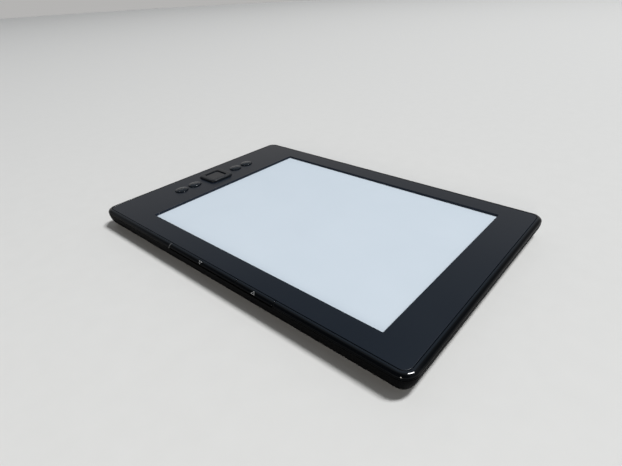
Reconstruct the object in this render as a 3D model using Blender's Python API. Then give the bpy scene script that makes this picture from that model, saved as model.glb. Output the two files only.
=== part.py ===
"""Six-inch e-reader lying on its back: face plate, rim, rear cover, keys and everything inside.

Sizes are in millimetres and become metres where a mesh is made. X runs across the reader, Y from the
key end to the far end and Z from the back to the face. The origin is the middle of the flat back.
A setback is a distance in from the reader's widest outline.
"""

import math

import bmesh
import bpy
from mathutils import Vector

MM = 0.001

# Body outline
LENGTH = 165.75
WIDTH = 114.5
THICKNESS = 8.7
CORNER_RADIUS = 5.2
LEAST_RADIUS = 0.2
CORNER_STEPS = 7
SMALL_CORNER_STEPS = 3
SHARP_ANGLE = math.radians(35)

# Rim and rear cover
BEVEL_WIDTH = 2.0
RIM_CORNER = 3.0
BEVEL_HEIGHT = 1.4
BEVEL_STEPS = 6
LIP_HEIGHT = 0.25
PARTING_GAP = 0.15
COVER_WALL = 1.2
COVER_STEPS = 8
BACK_SETBACK = 4.6
SKIRT_CLEARANCE = 0.25
SKIRT_WALL = 0.5
SKIRT_DEPTH = 2.85
LEDGE_WIDTH = 1.4
LEDGE_THICKNESS = 0.75

# Snap clips that hold the cover to the rim's skirt
CLIP_LENGTH = 4.0
CLIP_HEIGHT = 0.5
CLIP_DROP = 1.1
CLIP_REACH = 0.4
CLIP_ROOT = 0.4
CLIP_GAP = 0.3
CLIP_SIDE_Y = 55.0
CLIP_END_X = 32.0

# Face plate and its window
PLATE_THICKNESS = 1.0
PLATE_SEAM = 0.3
PLATE_BED_GAP = 0.15
WINDOW_WIDTH = 91.8
WINDOW_LENGTH = 123.9
WINDOW_DRAFT = 0.2
WINDOW_CORNER = 0.4
FAR_MARGIN = 15.8

# Display
LAYER_GAP = 0.1
FILM_THICKNESS = 0.45
FILM_MARGIN = 1.6
GLASS_THICKNESS = 0.7
GLASS_SIDE_MARGIN = 4.3
GLASS_FAR_MARGIN = 4.4
GLASS_KEY_MARGIN = 4.6
GASKET_WIDTH = 1.0
GASKET_GAP = 0.3
FLEX_WIDTH = 19.5
FLEX_THICKNESS = 0.2
FLEX_BOND = 1.2
FLEX_BEND = 0.7
FLEX_BEND_STEPS = 4

# Mid frame
FRAME_GAP = 0.15
FRAME_THICKNESS = 0.8
FRAME_SIDE_SETBACK = 6.8
FRAME_END_SETBACK = 3.6
FRAME_CORNER = 2.0
KEY_BAY_WIDTH = 63.0

# Oval keys, direction ring and select key
KEY_ROW_SETBACK = 13.5
OVAL_WIDTH = 6.5
OVAL_LENGTH = 5.6
OVAL_POINTS = 24
OVAL_WALL_HEIGHT = 0.5
OVAL_CROWN = 0.4
OVAL_FLANGE = 0.6
OVAL_RING_SPACE = 3.75
OVAL_SPACE = 1.65
CROWN_STEPS = 4
KEY_GAP = 0.25
RING_FLANGE = 0.6
KEY_FLANGE_THICKNESS = 0.7
KEY_TRAVEL = 0.35
TRAVEL_CLEARANCE = 0.1
STEM_RADIUS = 1.3
RING_WIDTH = 13.9
RING_LENGTH = 13.0
RING_CORNER = 2.8
RING_RISE = 1.15
RING_EDGE = 0.55
RING_FLANGE_DROP = 0.6
RING_FLANGE_THICKNESS = 0.55
RING_TILT_ROOM = 0.35
SELECT_SIZE = 8.2
SELECT_CORNER = 1.0
SELECT_RISE = 0.6
SELECT_FLANGE = 0.55
SELECT_FLANGE_THICKNESS = 0.35
BACKING_SETBACK = 0.3
BACKING_THICKNESS = 0.45
BACKING_HOLE_GAP = 0.35
PIVOT_WIDTH = 1.0
PIVOT_LENGTH = 1.2
PIVOT_GAP = 0.05

# Dome sheet
SHEET_THICKNESS = 0.15
DOME_RADIUS = 1.5
DOME_TOP_RADIUS = 0.8
DOME_HEIGHT = 0.25
DOME_SIDES = 12
SHEET_MARGIN = 0.3

# Page keys on the bevel of both long sides
PAGE_KEYS_START = -28.4
NEXT_KEY_LENGTH = 40.7
PREV_KEY_LENGTH = 19.3
PAGE_KEY_GAP = 0.25
PAGE_KEY_TRAVEL_GAP = 0.45
PAGE_KEY_WEB = 0.5
LEVER_THICKNESS = 0.65
LEVER_DROP = 0.35
HINGE_SETBACK = 5.7
HINGE_DROP = 2.05
HINGE_BARREL_RADIUS = 0.5
HINGE_PIN_RADIUS = 0.4
HINGE_PIN_CLEARANCE = 0.15
HINGE_PIN_SIDES = 12
HINGE_PIN_REACH = 1.3
LUG_INSET = 4.0
LUG_THICKNESS = 1.6
LUG_HALF_WIDTH = 0.9
LUG_RISE = 0.6
KEY_POCKET_DROP = 0.95
PRESS_NUB_DEPTH = 0.1
PRESS_NUB_LENGTH = 1.6
SIDE_BOARD_GAP = 0.25
SIDE_BOARD_WIDTH = 1.75
SIDE_BOARD_THICKNESS = 0.5
SIDE_BOARD_OVERRUN = 2.0
SWITCH_LENGTH = 3.0
SWITCH_WIDTH = 1.4
SWITCH_HEIGHT = 0.7
PLUNGER_LENGTH = 1.4
PLUNGER_WIDTH = 0.8
PLUNGER_HEIGHT = 0.25
PLUNGER_ROOM = 0.25
SHELF_THICKNESS = 0.4
SHELF_GAP = 0.4
SHELF_WEB = 0.65

# Main board and what it carries
BOARD_STANDOFF = 0.6
BOARD_THICKNESS = 0.8
BOARD_WIDTH = 84.0
BOARD_LENGTH = 61.0
BOARD_SETBACK = 3.6
CHIP_GAP = 0.1
SHIELD_SIZE = (30.0, 24.0)
SHIELD_PLACE = (-6.0, 36.0)
SHIELD_HEIGHT = 1.2
SHIELD_WALL = 0.2
SHIELD_CORNER = 1.0
PROCESSOR_SIZE = (13.0, 13.0, 0.8)
PROCESSOR_PLACE = (-12.5, 36.0)
MEMORY_SIZE = (10.0, 11.5, 0.8)
MEMORY_PLACE = (1.5, 36.0)
STORAGE_SIZE = (11.5, 13.0, 0.9)
STORAGE_PLACE = (18.5, 36.0)
POWER_CHIP_SIZE = (6.0, 6.0, 0.8)
POWER_CHIP_PLACE = (31.0, 44.0)
RADIO_SIZE = (12.0, 14.0, 1.1)
RADIO_PLACE = (-32.0, 46.0)
CHIP_CORNER = 0.4
CONNECTOR_LENGTH = 2.9
CONNECTOR_HEIGHT = 1.0
CONNECTOR_END = 0.6
CONNECTOR_REACH = 2.0
CONNECTOR_SHEET_SPACE = 1.3

# Lower edge: charging inlet, power button, charge light
PORT_DROP = 4.4
PORT_GAP = 0.3
USB_X = 0.0
USB_WIDTH = 7.5
USB_HEIGHT = 2.5
USB_CHAMFER = 0.9
USB_WALL = 0.3
USB_DEPTH = 4.3
USB_RECESS = 0.15
TONGUE_WIDTH = 3.8
TONGUE_HEIGHT = 0.7
TONGUE_LENGTH = 3.3
TONGUE_LIFT = 0.35
POWER_X = 15.0
POWER_WIDTH = 7.0
POWER_HEIGHT = 2.0
POWER_CORNER = 0.95
POWER_PROUD = 0.3
POWER_FLANGE = 0.5
POWER_FLANGE_THICKNESS = 0.5
POWER_FLANGE_GAP = 0.4
POWER_TRAVEL = 0.5
POWER_SWITCH_SIZE = (4.6, 2.4, 1.6)
POWER_PLUNGER_SIZE = (1.8, 0.4, 1.0)
LIGHT_X = -9.0
LIGHT_RADIUS = 0.7
LIGHT_SIDES = 16
LIGHT_FLANGE_RADIUS = 1.1
LIGHT_FLANGE_GAP = 0.3
LIGHT_FLANGE_THICKNESS = 0.5
LED_SIZE = (1.6, 0.8, 0.8)

# Battery
BATTERY_WIDTH = 60.0
BATTERY_LENGTH = 53.0
BATTERY_CORNER = 2.5
BATTERY_EDGE = 0.4
BATTERY_FLOOR_GAP = 0.8
BATTERY_PAD_THICKNESS = 0.5
BATTERY_PAD_MARGIN = 8.0
BATTERY_GAP = 7.0
BATTERY_BOARD_SIZE = (24.0, 3.2, 1.0)
BATTERY_BOARD_GAP = 0.3
BATTERY_PLUG_SIZE = (5.0, 3.6, 1.1)
BATTERY_PLUG_PLACE = (8.0, 56.0)
WIRE_RADIUS = 0.4
WIRE_SPACING = 1.6
WIRE_POINTS = 16
WIRE_ROUNDING = 2

# Antenna
ANTENNA_SIZE = (30.0, 4.5, 0.25)
ANTENNA_CENTRE_X = -27.0
ANTENNA_SETBACK = 7.0
CABLE_RADIUS = 0.4
CABLE_X = -43.0
CABLE_POINTS = 32
CABLE_BEND = 7.0
CABLE_EASE = 14.0
CABLE_STRAIGHT = 42.0
CABLE_END = 2.0

# Contacts in the back
CONTACT_X = 40.0
CONTACT_SETBACK = 24.0
CONTACT_SPACING = 7.0
CONTACT_RADIUS = 2.0
CONTACT_SIDES = 20
CONTACT_RECESS = 0.15
CONTACT_GAP = 0.3
CONTACT_FLANGE = 0.7
CONTACT_FLANGE_THICKNESS = 0.35

# Screws
SCREW_POINTS = 12
SCREW_RADIUS = 0.7
SCREW_HEAD_RADIUS = 1.4
SCREW_HEAD_HEIGHT = 0.6
SCREW_RECESS_OUTER = 0.8
SCREW_RECESS_INNER = 0.5
SCREW_RECESS_DEPTH = 0.35
SCREW_CLEARANCE = 0.2
SCREW_SEAT_GAP = 0.1
SCREW_TIP_ROOM = 0.25
RIM_SCREW_SETBACK_X = 10.75
RIM_SCREW_SETBACK_Y = 6.4
RIM_PAD_GAP = 0.15
RIM_PAD_TOP_GAP = 0.1
RIM_PAD_REACH_X = 3.2
RIM_PAD_REACH_Y = 2.9
RIM_PAD_SETBACK = 3.0
BOARD_SCREW_SETBACK_X = 3.5
BOARD_SCREW_SETBACK_Y = 6.0
BOSS_RADIUS = 1.9
BOSS_SINK = 0.3
CUT_OVERRUN = 1.0

# Oval key places, worked out from the ring
OVAL_INNER_X = RING_WIDTH / 2 + OVAL_RING_SPACE + OVAL_WIDTH / 2
OVAL_OUTER_X = OVAL_INNER_X + OVAL_WIDTH + OVAL_SPACE
OVAL_FLANGE_RADIUS = OVAL_WIDTH / 2 + OVAL_FLANGE

# Domes under the ring and the ribbon's place beside the dome sheet, worked out from the ring
RING_DOME_X = RING_WIDTH / 2 - BACKING_SETBACK - PIVOT_LENGTH / 2
RING_DOME_Y = RING_LENGTH / 2 - BACKING_SETBACK - PIVOT_LENGTH / 2
SHEET_PATCH_X = RING_DOME_X + DOME_RADIUS + SHEET_MARGIN
SHEET_PATCH_Y = RING_DOME_Y + DOME_RADIUS + SHEET_MARGIN
FLEX_CENTRE_X = SHEET_PATCH_X + CONNECTOR_SHEET_SPACE + CONNECTOR_END + FLEX_WIDTH / 2

# Heights, worked down from the face
WIDEST_Z = THICKNESS - BEVEL_HEIGHT
PARTING_Z = WIDEST_Z - LIP_HEIGHT
COVER_TOP = PARTING_Z - PARTING_GAP
PLATE_UNDER = THICKNESS - PLATE_THICKNESS
LEDGE_TOP = PLATE_UNDER - PLATE_BED_GAP
LEDGE_UNDER = LEDGE_TOP - LEDGE_THICKNESS
FILM_TOP = PLATE_UNDER - LAYER_GAP
FILM_UNDER = FILM_TOP - FILM_THICKNESS
GLASS_TOP = FILM_UNDER - LAYER_GAP
GLASS_UNDER = GLASS_TOP - GLASS_THICKNESS
FRAME_TOP = GLASS_UNDER - FRAME_GAP
FRAME_UNDER = FRAME_TOP - FRAME_THICKNESS
BOARD_TOP = FRAME_UNDER - BOARD_STANDOFF
BOARD_UNDER = BOARD_TOP - BOARD_THICKNESS
CHIP_TOP = BOARD_UNDER - CHIP_GAP
SHEET_UNDER = BOARD_TOP + LAYER_GAP
SHEET_TOP = SHEET_UNDER + SHEET_THICKNESS
DOME_TOP = SHEET_TOP + DOME_HEIGHT
STEM_UNDER = DOME_TOP + KEY_TRAVEL + TRAVEL_CLEARANCE
RING_FLANGE_TOP = PLATE_UNDER - RING_FLANGE_DROP
RING_UNDER = RING_FLANGE_TOP - RING_FLANGE_THICKNESS
BACKING_TOP = RING_UNDER - RING_TILT_ROOM
BACKING_UNDER = BACKING_TOP - BACKING_THICKNESS
HINGE_Z = THICKNESS - HINGE_DROP
LEVER_UNDER = HINGE_Z - LEVER_DROP
PORT_Z = THICKNESS - PORT_DROP

# Places along the reader
KEY_END = -LENGTH / 2
FAR_END = LENGTH / 2
KEY_ROW_Y = KEY_END + KEY_ROW_SETBACK
WINDOW_FAR = FAR_END - FAR_MARGIN
WINDOW_CENTRE_Y = WINDOW_FAR - WINDOW_LENGTH / 2
WINDOW_NEAR = WINDOW_FAR - WINDOW_LENGTH
GLASS_NEAR = WINDOW_NEAR - GLASS_KEY_MARGIN
GLASS_FAR = WINDOW_FAR + GLASS_FAR_MARGIN
BOARD_NEAR = KEY_END + BOARD_SETBACK
BOARD_FAR = BOARD_NEAR + BOARD_LENGTH
PREV_KEY_START = PAGE_KEYS_START + NEXT_KEY_LENGTH
PAGE_KEYS_END = PREV_KEY_START + PREV_KEY_LENGTH


def clear_scene():
    """Starts from an empty scene."""
    for item in list(bpy.data.objects):
        bpy.data.objects.remove(item, do_unlink=True)


def finish(name, colour, roughness, metallic=0.0):
    """A plain surface finish."""
    material = bpy.data.materials.new(name)
    material.use_nodes = True
    shader = material.node_tree.nodes["Principled BSDF"]
    shader.inputs["Base Color"].default_value = (*colour, 1.0)
    shader.inputs["Roughness"].default_value = roughness
    shader.inputs["Metallic"].default_value = metallic
    return material


def rounded(half_x, half_y, radius, centre=(0.0, 0.0), steps=SMALL_CORNER_STEPS):
    """Points round a rectangle with round corners, anticlockwise."""
    points = []
    for quarter, (side_x, side_y) in enumerate(((1, 1), (-1, 1), (-1, -1), (1, -1))):
        corner_x = centre[0] + side_x * (half_x - radius)
        corner_y = centre[1] + side_y * (half_y - radius)
        for step in range(steps + 1):
            angle = math.pi / 2 * (quarter + step / steps)
            points.append((corner_x + radius * math.cos(angle), corner_y + radius * math.sin(angle)))
    return points


def oval(half_x, half_y, count, centre=(0.0, 0.0)):
    """Points round an ellipse, anticlockwise."""
    turn = 2 * math.pi / count
    return [
        (centre[0] + half_x * math.cos(turn * i), centre[1] + half_y * math.sin(turn * i))
        for i in range(count)
    ]


def disc(radius, count, centre):
    """Points round a circle, anticlockwise."""
    return oval(radius, radius, count, centre)


def span(centre, size):
    """Low and high ends of a size about its centre."""
    return (centre - size / 2, centre + size / 2)


def rectangle(x, y):
    """Corners of a rectangle from two (low, high) pairs."""
    return [(x[0], y[0]), (x[1], y[0]), (x[1], y[1]), (x[0], y[1])]


def level(outline, z):
    """A flat outline raised to a height."""
    return [(x, y, z) for x, y in outline]


def body_loop(setback, z, radius=None):
    """The reader's outline set back and raised to a height, with parallel corners or a given radius."""
    if radius is None:
        radius = max(CORNER_RADIUS - setback, LEAST_RADIUS)
    outline = rounded(WIDTH / 2 - setback, LENGTH / 2 - setback, radius, steps=CORNER_STEPS)
    return level(outline, z)


def loft(loops, closed=False):
    """One skin through loops of equal count, capped at its ends or joined end to end."""
    mesh = bmesh.new()
    rings = [[mesh.verts.new(Vector(point) * MM) for point in loop] for loop in loops]
    pairs = list(zip(rings, rings[1:]))
    if closed:
        pairs.append((rings[-1], rings[0]))
    else:
        mesh.faces.new(rings[0])
        mesh.faces.new(rings[-1])
    for first, second in pairs:
        for i, corner in enumerate(first):
            j = (i + 1) % len(first)
            mesh.faces.new((corner, first[j], second[j], second[i]))
    bmesh.ops.recalc_face_normals(mesh, faces=mesh.faces[:])
    return mesh


def prism(outline, low, high):
    """An outline raised from one height to another."""
    return loft([level(outline, low), level(outline, high)])


def block(x, y, z):
    """A box from three (low, high) pairs."""
    return prism(rectangle(x, y), *z)


def frame(outer, inner, low, high):
    """A flat frame between two outlines of equal count."""
    loops = [level(outer, low), level(outer, high), level(inner, high), level(inner, low)]
    return loft(loops, closed=True)


def prism_along_y(outline, low, high):
    """An outline of (x, z) points drawn out along Y."""
    return loft([[(x, y, z) for x, z in outline] for y in (low, high)])


def merged(meshes):
    """Several separate shapes in one mesh."""
    whole = bmesh.new()
    for mesh in meshes:
        data = bpy.data.meshes.new("shape")
        mesh.to_mesh(data)
        mesh.free()
        whole.from_mesh(data)
        bpy.data.meshes.remove(data)
    return whole


def add_piece(name, mesh, material, origin=(0.0, 0.0, 0.0)):
    """Makes a mesh an object of the assembly, with its own origin."""
    pivot = Vector(origin) * MM
    bmesh.ops.translate(mesh, verts=mesh.verts[:], vec=-pivot)
    data = bpy.data.meshes.new(name)
    mesh.to_mesh(data)
    mesh.free()
    data.shade_smooth()
    data.set_sharp_from_angle(angle=SHARP_ANGLE)
    if material:
        data.materials.append(material)
    piece = bpy.data.objects.new(name, data)
    bpy.context.scene.collection.objects.link(piece)
    piece.parent = reader
    piece.location = pivot
    return piece


def shape_with(piece, meshes, operation):
    """Cuts shapes from a piece, or adds them to it."""
    tool = add_piece(f"{piece.name}_{operation.lower()}", merged(meshes), None)
    tool.hide_render = True
    tool.display_type = "WIRE"
    modifier = piece.modifiers.new(operation.title(), "BOOLEAN")
    modifier.operation = operation
    modifier.solver = "EXACT"
    modifier.object = tool


def cut(piece, meshes):
    shape_with(piece, meshes, "DIFFERENCE")


def unite(piece, meshes):
    shape_with(piece, meshes, "UNION")


def smooth_route(points, count):
    """Evenly stepped points on a smooth curve through hand-set points."""
    ends = [points[0], *points, points[-1]]
    spans = len(points) - 1
    route = []
    for i in range(count):
        place = spans * i / (count - 1)
        first = min(int(place), spans - 1)
        t = place - first
        a, b, c, d = (Vector(p) for p in ends[first:first + 4])
        bend = (2 * b) + (c - a) * t
        bend += (2 * a - 5 * b + 4 * c - d) * t * t
        bend += (3 * b - a - 3 * c + d) * t * t * t
        route.append(bend / 2)
    return route


def add_wire(name, route, radius, material):
    """A round wire along a route of points."""
    curve = bpy.data.curves.new(name, "CURVE")
    curve.dimensions = "3D"
    curve.bevel_depth = radius * MM
    curve.bevel_resolution = WIRE_ROUNDING
    curve.use_fill_caps = True
    spline = curve.splines.new("POLY")
    spline.points.add(len(route) - 1)
    for point, place in zip(spline.points, route):
        point.co = (*(place * MM), 1.0)
    curve.materials.append(material)
    wire = bpy.data.objects.new(name, curve)
    bpy.context.scene.collection.objects.link(wire)
    wire.parent = reader
    return wire


def bevel_profile(end_z):
    """Setbacks and heights down the rim's rounded bevel, from the seam to a height."""
    last = math.acos((end_z - WIDEST_Z) / BEVEL_HEIGHT)
    profile = []
    for step in range(BEVEL_STEPS + 1):
        angle = last * step / BEVEL_STEPS
        profile.append((BEVEL_WIDTH * (1 - math.sin(angle)), WIDEST_Z + BEVEL_HEIGHT * math.cos(angle)))
    return profile


def bevel_corner(setback):
    """Corner radius on the rim's bevel, which sharpens from the widest line to the inner edge."""
    return CORNER_RADIUS - (CORNER_RADIUS - RIM_CORNER) * setback / BEVEL_WIDTH


def cover_profile(wall, top):
    """Setbacks and heights down the cover's side, at a depth of wall from its skin."""
    height = WIDEST_Z - wall
    first = math.asin(1 - (top - wall) / height)
    profile = []
    for step in range(COVER_STEPS + 1):
        angle = first + (math.pi / 2 - first) * step / COVER_STEPS
        profile.append((wall + BACK_SETBACK * (1 - math.cos(angle)), wall + height * (1 - math.sin(angle))))
    return profile


def cover_setback(wall, z):
    """Setback of the cover's side at a height, at a depth of wall from its skin."""
    rise = 1 - (z - wall) / (WIDEST_Z - wall)
    return wall + BACK_SETBACK * (1 - math.sqrt(1 - rise * rise))


def skirt_foot():
    """Height of the lower end of the rim's skirt."""
    return PARTING_Z - SKIRT_DEPTH


def skirt_inner():
    """Setback of the skirt's inner side, which is plumb."""
    return cover_setback(COVER_WALL, skirt_foot()) + SKIRT_CLEARANCE + SKIRT_WALL


def side_x(side, setback):
    """X at a setback from the outline on the right (1) or left (-1) side."""
    return side * (WIDTH / 2 - setback)


def side_pair(side, outer, inner):
    """Low and high X between two setbacks on one side."""
    return tuple(sorted((side_x(side, outer), side_x(side, inner))))


def page_keys():
    """Name and span along Y of the keys on each side, with the gaps taken off."""
    half_gap = PAGE_KEY_GAP / 2
    return (
        ("next_key", PAGE_KEYS_START + PAGE_KEY_GAP, PREV_KEY_START - half_gap),
        ("prev_key", PREV_KEY_START + half_gap, PAGE_KEYS_END - PAGE_KEY_GAP),
    )


def lug_spans(start, end):
    """Spans along Y of the two hinge lugs that carry a page key."""
    first = start + LUG_INSET
    last = end - LUG_INSET
    return ((first, first + LUG_THICKNESS), (last - LUG_THICKNESS, last))


def rim_screw_places():
    across = WIDTH / 2 - RIM_SCREW_SETBACK_X
    along = LENGTH / 2 - RIM_SCREW_SETBACK_Y
    return [(x, y) for y in (-along, along) for x in (-across, across)]


def board_screw_places():
    across = BOARD_WIDTH / 2 - BOARD_SCREW_SETBACK_X
    low = BOARD_NEAR + BOARD_SCREW_SETBACK_Y
    high = BOARD_FAR - BOARD_SCREW_SETBACK_Y
    return [(x, y) for y in (low, high) for x in (-across, across)]


def screw_hole(place, low, high):
    """A clearance hole for one screw."""
    return prism(disc(SCREW_RADIUS + SCREW_CLEARANCE, SCREW_POINTS, place), low, high)


def oval_key_places():
    return (
        ("back_key", -OVAL_OUTER_X),
        ("keyboard_key", -OVAL_INNER_X),
        ("menu_key", OVAL_INNER_X),
        ("home_key", OVAL_OUTER_X),
    )


def usb_outline(grow):
    """The inlet's (x, z) outline: a rectangle with its two lower corners cut off."""
    half_x = USB_WIDTH / 2 + grow
    half_z = USB_HEIGHT / 2 + grow
    return [
        (USB_X - half_x, PORT_Z + half_z),
        (USB_X - half_x, PORT_Z - half_z + USB_CHAMFER),
        (USB_X - half_x + USB_CHAMFER, PORT_Z - half_z),
        (USB_X + half_x - USB_CHAMFER, PORT_Z - half_z),
        (USB_X + half_x, PORT_Z - half_z + USB_CHAMFER),
        (USB_X + half_x, PORT_Z + half_z),
    ]


def power_outline(grow):
    return [
        (POWER_X + x, PORT_Z + z)
        for x, z in rounded(POWER_WIDTH / 2 + grow, POWER_HEIGHT / 2 + grow, POWER_CORNER + grow)
    ]


def light_outline(radius):
    return disc(radius, LIGHT_SIDES, (LIGHT_X, PORT_Z))


def usb_front():
    """Y of the inlet's mouth, just inside the cover's skin at its lower edge."""
    return KEY_END + cover_setback(0.0, PORT_Z - USB_HEIGHT / 2) + USB_RECESS


def usb_back():
    return usb_front() + USB_DEPTH


def power_flange_front():
    """Y of the button's flange, clear of the cover's inner side."""
    lowest = PORT_Z - POWER_HEIGHT / 2 - POWER_FLANGE
    return KEY_END + cover_setback(COVER_WALL, lowest) + POWER_FLANGE_GAP


def light_flange_front():
    """Y of the light pipe's flange, clear of the cover's inner side."""
    return KEY_END + cover_setback(COVER_WALL, PORT_Z - LIGHT_FLANGE_RADIUS) + LIGHT_FLANGE_GAP


def lower_edge_cuts():
    """Openings through the lower edge for the inlet, the power button and the charge light."""
    outside = KEY_END - CUT_OVERRUN
    return [
        prism_along_y(usb_outline(PORT_GAP), outside, usb_back() + PORT_GAP),
        prism_along_y(power_outline(PORT_GAP), outside, power_flange_front()),
        prism_along_y(light_outline(LIGHT_RADIUS + PORT_GAP), outside, light_flange_front()),
    ]


def lower_edge_skirt_cuts():
    """Wider openings that clear the flanges inside the rim's skirt."""
    outside = KEY_END - CUT_OVERRUN
    inside = KEY_END + skirt_inner() + CUT_OVERRUN
    widths = (
        (USB_X, USB_WIDTH),
        (POWER_X, POWER_WIDTH + 2 * POWER_FLANGE),
        (LIGHT_X, 2 * LIGHT_FLANGE_RADIUS),
    )
    low = skirt_foot() - CUT_OVERRUN
    high = PORT_Z + POWER_HEIGHT / 2 + POWER_FLANGE + PORT_GAP
    return [
        block(span(x, width + 2 * PORT_GAP), (outside, inside), (low, high)) for x, width in widths
    ]


def clip_blocks(grow):
    """Catches on the cover's inner wall or, grown by a gap, the windows they snap into."""
    middle = COVER_TOP - CLIP_DROP
    wall = cover_setback(COVER_WALL, middle)
    depth = (wall - CLIP_ROOT, wall + SKIRT_CLEARANCE + CLIP_REACH + grow)
    height = span(middle, CLIP_HEIGHT + 2 * grow)
    length = CLIP_LENGTH + 2 * grow
    blocks = []
    for way in (1, -1):
        across = sorted(way * (WIDTH / 2 - setback) for setback in depth)
        along = sorted(way * (LENGTH / 2 - setback) for setback in depth)
        for place in (CLIP_SIDE_Y, -CLIP_SIDE_Y):
            blocks.append(block(across, span(place, length), height))
        for place in (CLIP_END_X, -CLIP_END_X):
            blocks.append(block(span(place, length), along, height))
    return blocks


def make_front_bezel(material):
    """Flat face plate with the screen window and the key holes."""
    edge = BEVEL_WIDTH + PLATE_SEAM
    corner = RIM_CORNER - PLATE_SEAM
    centre = (0.0, WINDOW_CENTRE_Y)
    half_x = WINDOW_WIDTH / 2
    half_y = WINDOW_LENGTH / 2
    mouth = rounded(half_x, half_y, WINDOW_CORNER, centre, CORNER_STEPS)
    throat = rounded(half_x - WINDOW_DRAFT, half_y - WINDOW_DRAFT, WINDOW_CORNER, centre, CORNER_STEPS)
    plate = add_piece(
        "front_bezel",
        loft(
            [
                body_loop(edge, PLATE_UNDER, corner),
                body_loop(edge, THICKNESS, corner),
                level(mouth, THICKNESS),
                level(throat, PLATE_UNDER),
            ],
            closed=True,
        ),
        material,
    )
    through = (PLATE_UNDER - CUT_OVERRUN, THICKNESS + CUT_OVERRUN)
    hole_x = OVAL_WIDTH / 2 + KEY_GAP
    hole_y = OVAL_LENGTH / 2 + KEY_GAP
    holes = [
        prism(oval(hole_x, hole_y, OVAL_POINTS, (x, KEY_ROW_Y)), *through) for _, x in oval_key_places()
    ]
    ring_x = RING_WIDTH / 2 + KEY_GAP
    ring_y = RING_LENGTH / 2 + KEY_GAP
    ring_hole = rounded(ring_x, ring_y, RING_CORNER + KEY_GAP, (0.0, KEY_ROW_Y))
    cut(plate, [*holes, prism(ring_hole, *through)])


def make_rim_frame(material):
    """Rounded rim with the ledge under the plate, a skirt inside the cover and four screw pads."""
    foot = skirt_foot()
    inner = skirt_inner()
    bevel = [body_loop(setback, z, bevel_corner(setback)) for setback, z in bevel_profile(WIDEST_Z)]
    inside = [
        (0.0, PARTING_Z),
        (COVER_WALL + SKIRT_CLEARANCE, PARTING_Z),
        (inner - SKIRT_WALL, foot),
        (inner, foot),
        (inner, LEDGE_UNDER),
        (BEVEL_WIDTH + LEDGE_WIDTH, LEDGE_UNDER),
        (BEVEL_WIDTH + LEDGE_WIDTH, LEDGE_TOP),
        (BEVEL_WIDTH, LEDGE_TOP, RIM_CORNER),
    ]
    loops = [*bevel, *(body_loop(*point) for point in inside)]
    rim = add_piece("rim_frame", loft(loops, closed=True), material)
    pad_span = (FRAME_TOP + RIM_PAD_GAP, LEDGE_TOP - RIM_PAD_TOP_GAP)
    pads = []
    holes = []
    for x, y in rim_screw_places():
        outer_x = math.copysign(WIDTH / 2 - RIM_PAD_SETBACK, x)
        outer_y = math.copysign(LENGTH / 2 - RIM_PAD_SETBACK, y)
        inner_x = x - math.copysign(RIM_PAD_REACH_X, x)
        inner_y = y - math.copysign(RIM_PAD_REACH_Y, y)
        pads.append(block(sorted((inner_x, outer_x)), sorted((inner_y, outer_y)), pad_span))
        holes.append(screw_hole((x, y), pad_span[0] - CUT_OVERRUN, pad_span[1] + CUT_OVERRUN))
    unite(rim, pads)
    pockets = [
        block(
            side_pair(side, -CUT_OVERRUN, BEVEL_WIDTH + LEDGE_WIDTH + PLATE_SEAM),
            (PAGE_KEYS_START, PAGE_KEYS_END),
            (HINGE_Z - KEY_POCKET_DROP, THICKNESS + CUT_OVERRUN),
        )
        for side in (1, -1)
    ]
    cut(rim, [*holes, *pockets, *lower_edge_skirt_cuts(), *clip_blocks(CLIP_GAP)])


def make_rear_cover(material):
    """Tray that curves from the parting line down to the flat back."""
    inside = [body_loop(*point) for point in reversed(cover_profile(COVER_WALL, COVER_TOP))]
    outside = [body_loop(*point) for point in cover_profile(0.0, COVER_TOP)]
    cover = add_piece("rear_cover", loft(inside + outside), material)
    unite(cover, clip_blocks(0.0))
    hole_radius = CONTACT_RADIUS + CONTACT_GAP
    contact_holes = [
        prism(disc(hole_radius, CONTACT_SIDES, place), -CUT_OVERRUN, COVER_WALL + CUT_OVERRUN)
        for place in contact_places()
    ]
    cut(cover, [*lower_edge_cuts(), *contact_holes])


def contact_places():
    return [(x, KEY_END + CONTACT_SETBACK) for x in span(CONTACT_X, CONTACT_SPACING)]


def make_contacts(material):
    """Two flanged contact buttons seated from inside, just below the back's surface."""
    flange_under = COVER_WALL + LAYER_GAP
    steps = (
        (CONTACT_RADIUS, CONTACT_RECESS),
        (CONTACT_RADIUS, flange_under),
        (CONTACT_RADIUS + CONTACT_FLANGE, flange_under),
        (CONTACT_RADIUS + CONTACT_FLANGE, flange_under + CONTACT_FLANGE_THICKNESS),
    )
    for number, place in enumerate(contact_places(), start=1):
        loops = [level(disc(radius, CONTACT_SIDES, place), z) for radius, z in steps]
        add_piece(f"cover_contact_{number}", loft(loops), material, (*place, CONTACT_RECESS))


def make_display(film, glass, gasket, ribbon):
    """Pale display sheet on its driver glass, with a foam frame round it and its ribbon."""
    centre = (0.0, WINDOW_CENTRE_Y)
    half_x = WINDOW_WIDTH / 2 + FILM_MARGIN
    half_y = WINDOW_LENGTH / 2 + FILM_MARGIN
    sheet = rounded(half_x, half_y, WINDOW_CORNER, centre)
    add_piece("epaper_film", prism(sheet, FILM_UNDER, FILM_TOP), film)
    glass_x = span(0.0, WINDOW_WIDTH + 2 * GLASS_SIDE_MARGIN)
    add_piece("tft_glass", block(glass_x, (GLASS_NEAR, GLASS_FAR), (GLASS_UNDER, GLASS_TOP)), glass)
    inner_edge = GASKET_GAP
    outer_edge = GASKET_GAP + GASKET_WIDTH
    inner = rounded(half_x + inner_edge, half_y + inner_edge, WINDOW_CORNER, centre)
    outer = rounded(half_x + outer_edge, half_y + outer_edge, WINDOW_CORNER, centre)
    add_piece("display_gasket", frame(outer, inner, FILM_UNDER, FILM_TOP), gasket)
    make_display_flex(ribbon)


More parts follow.
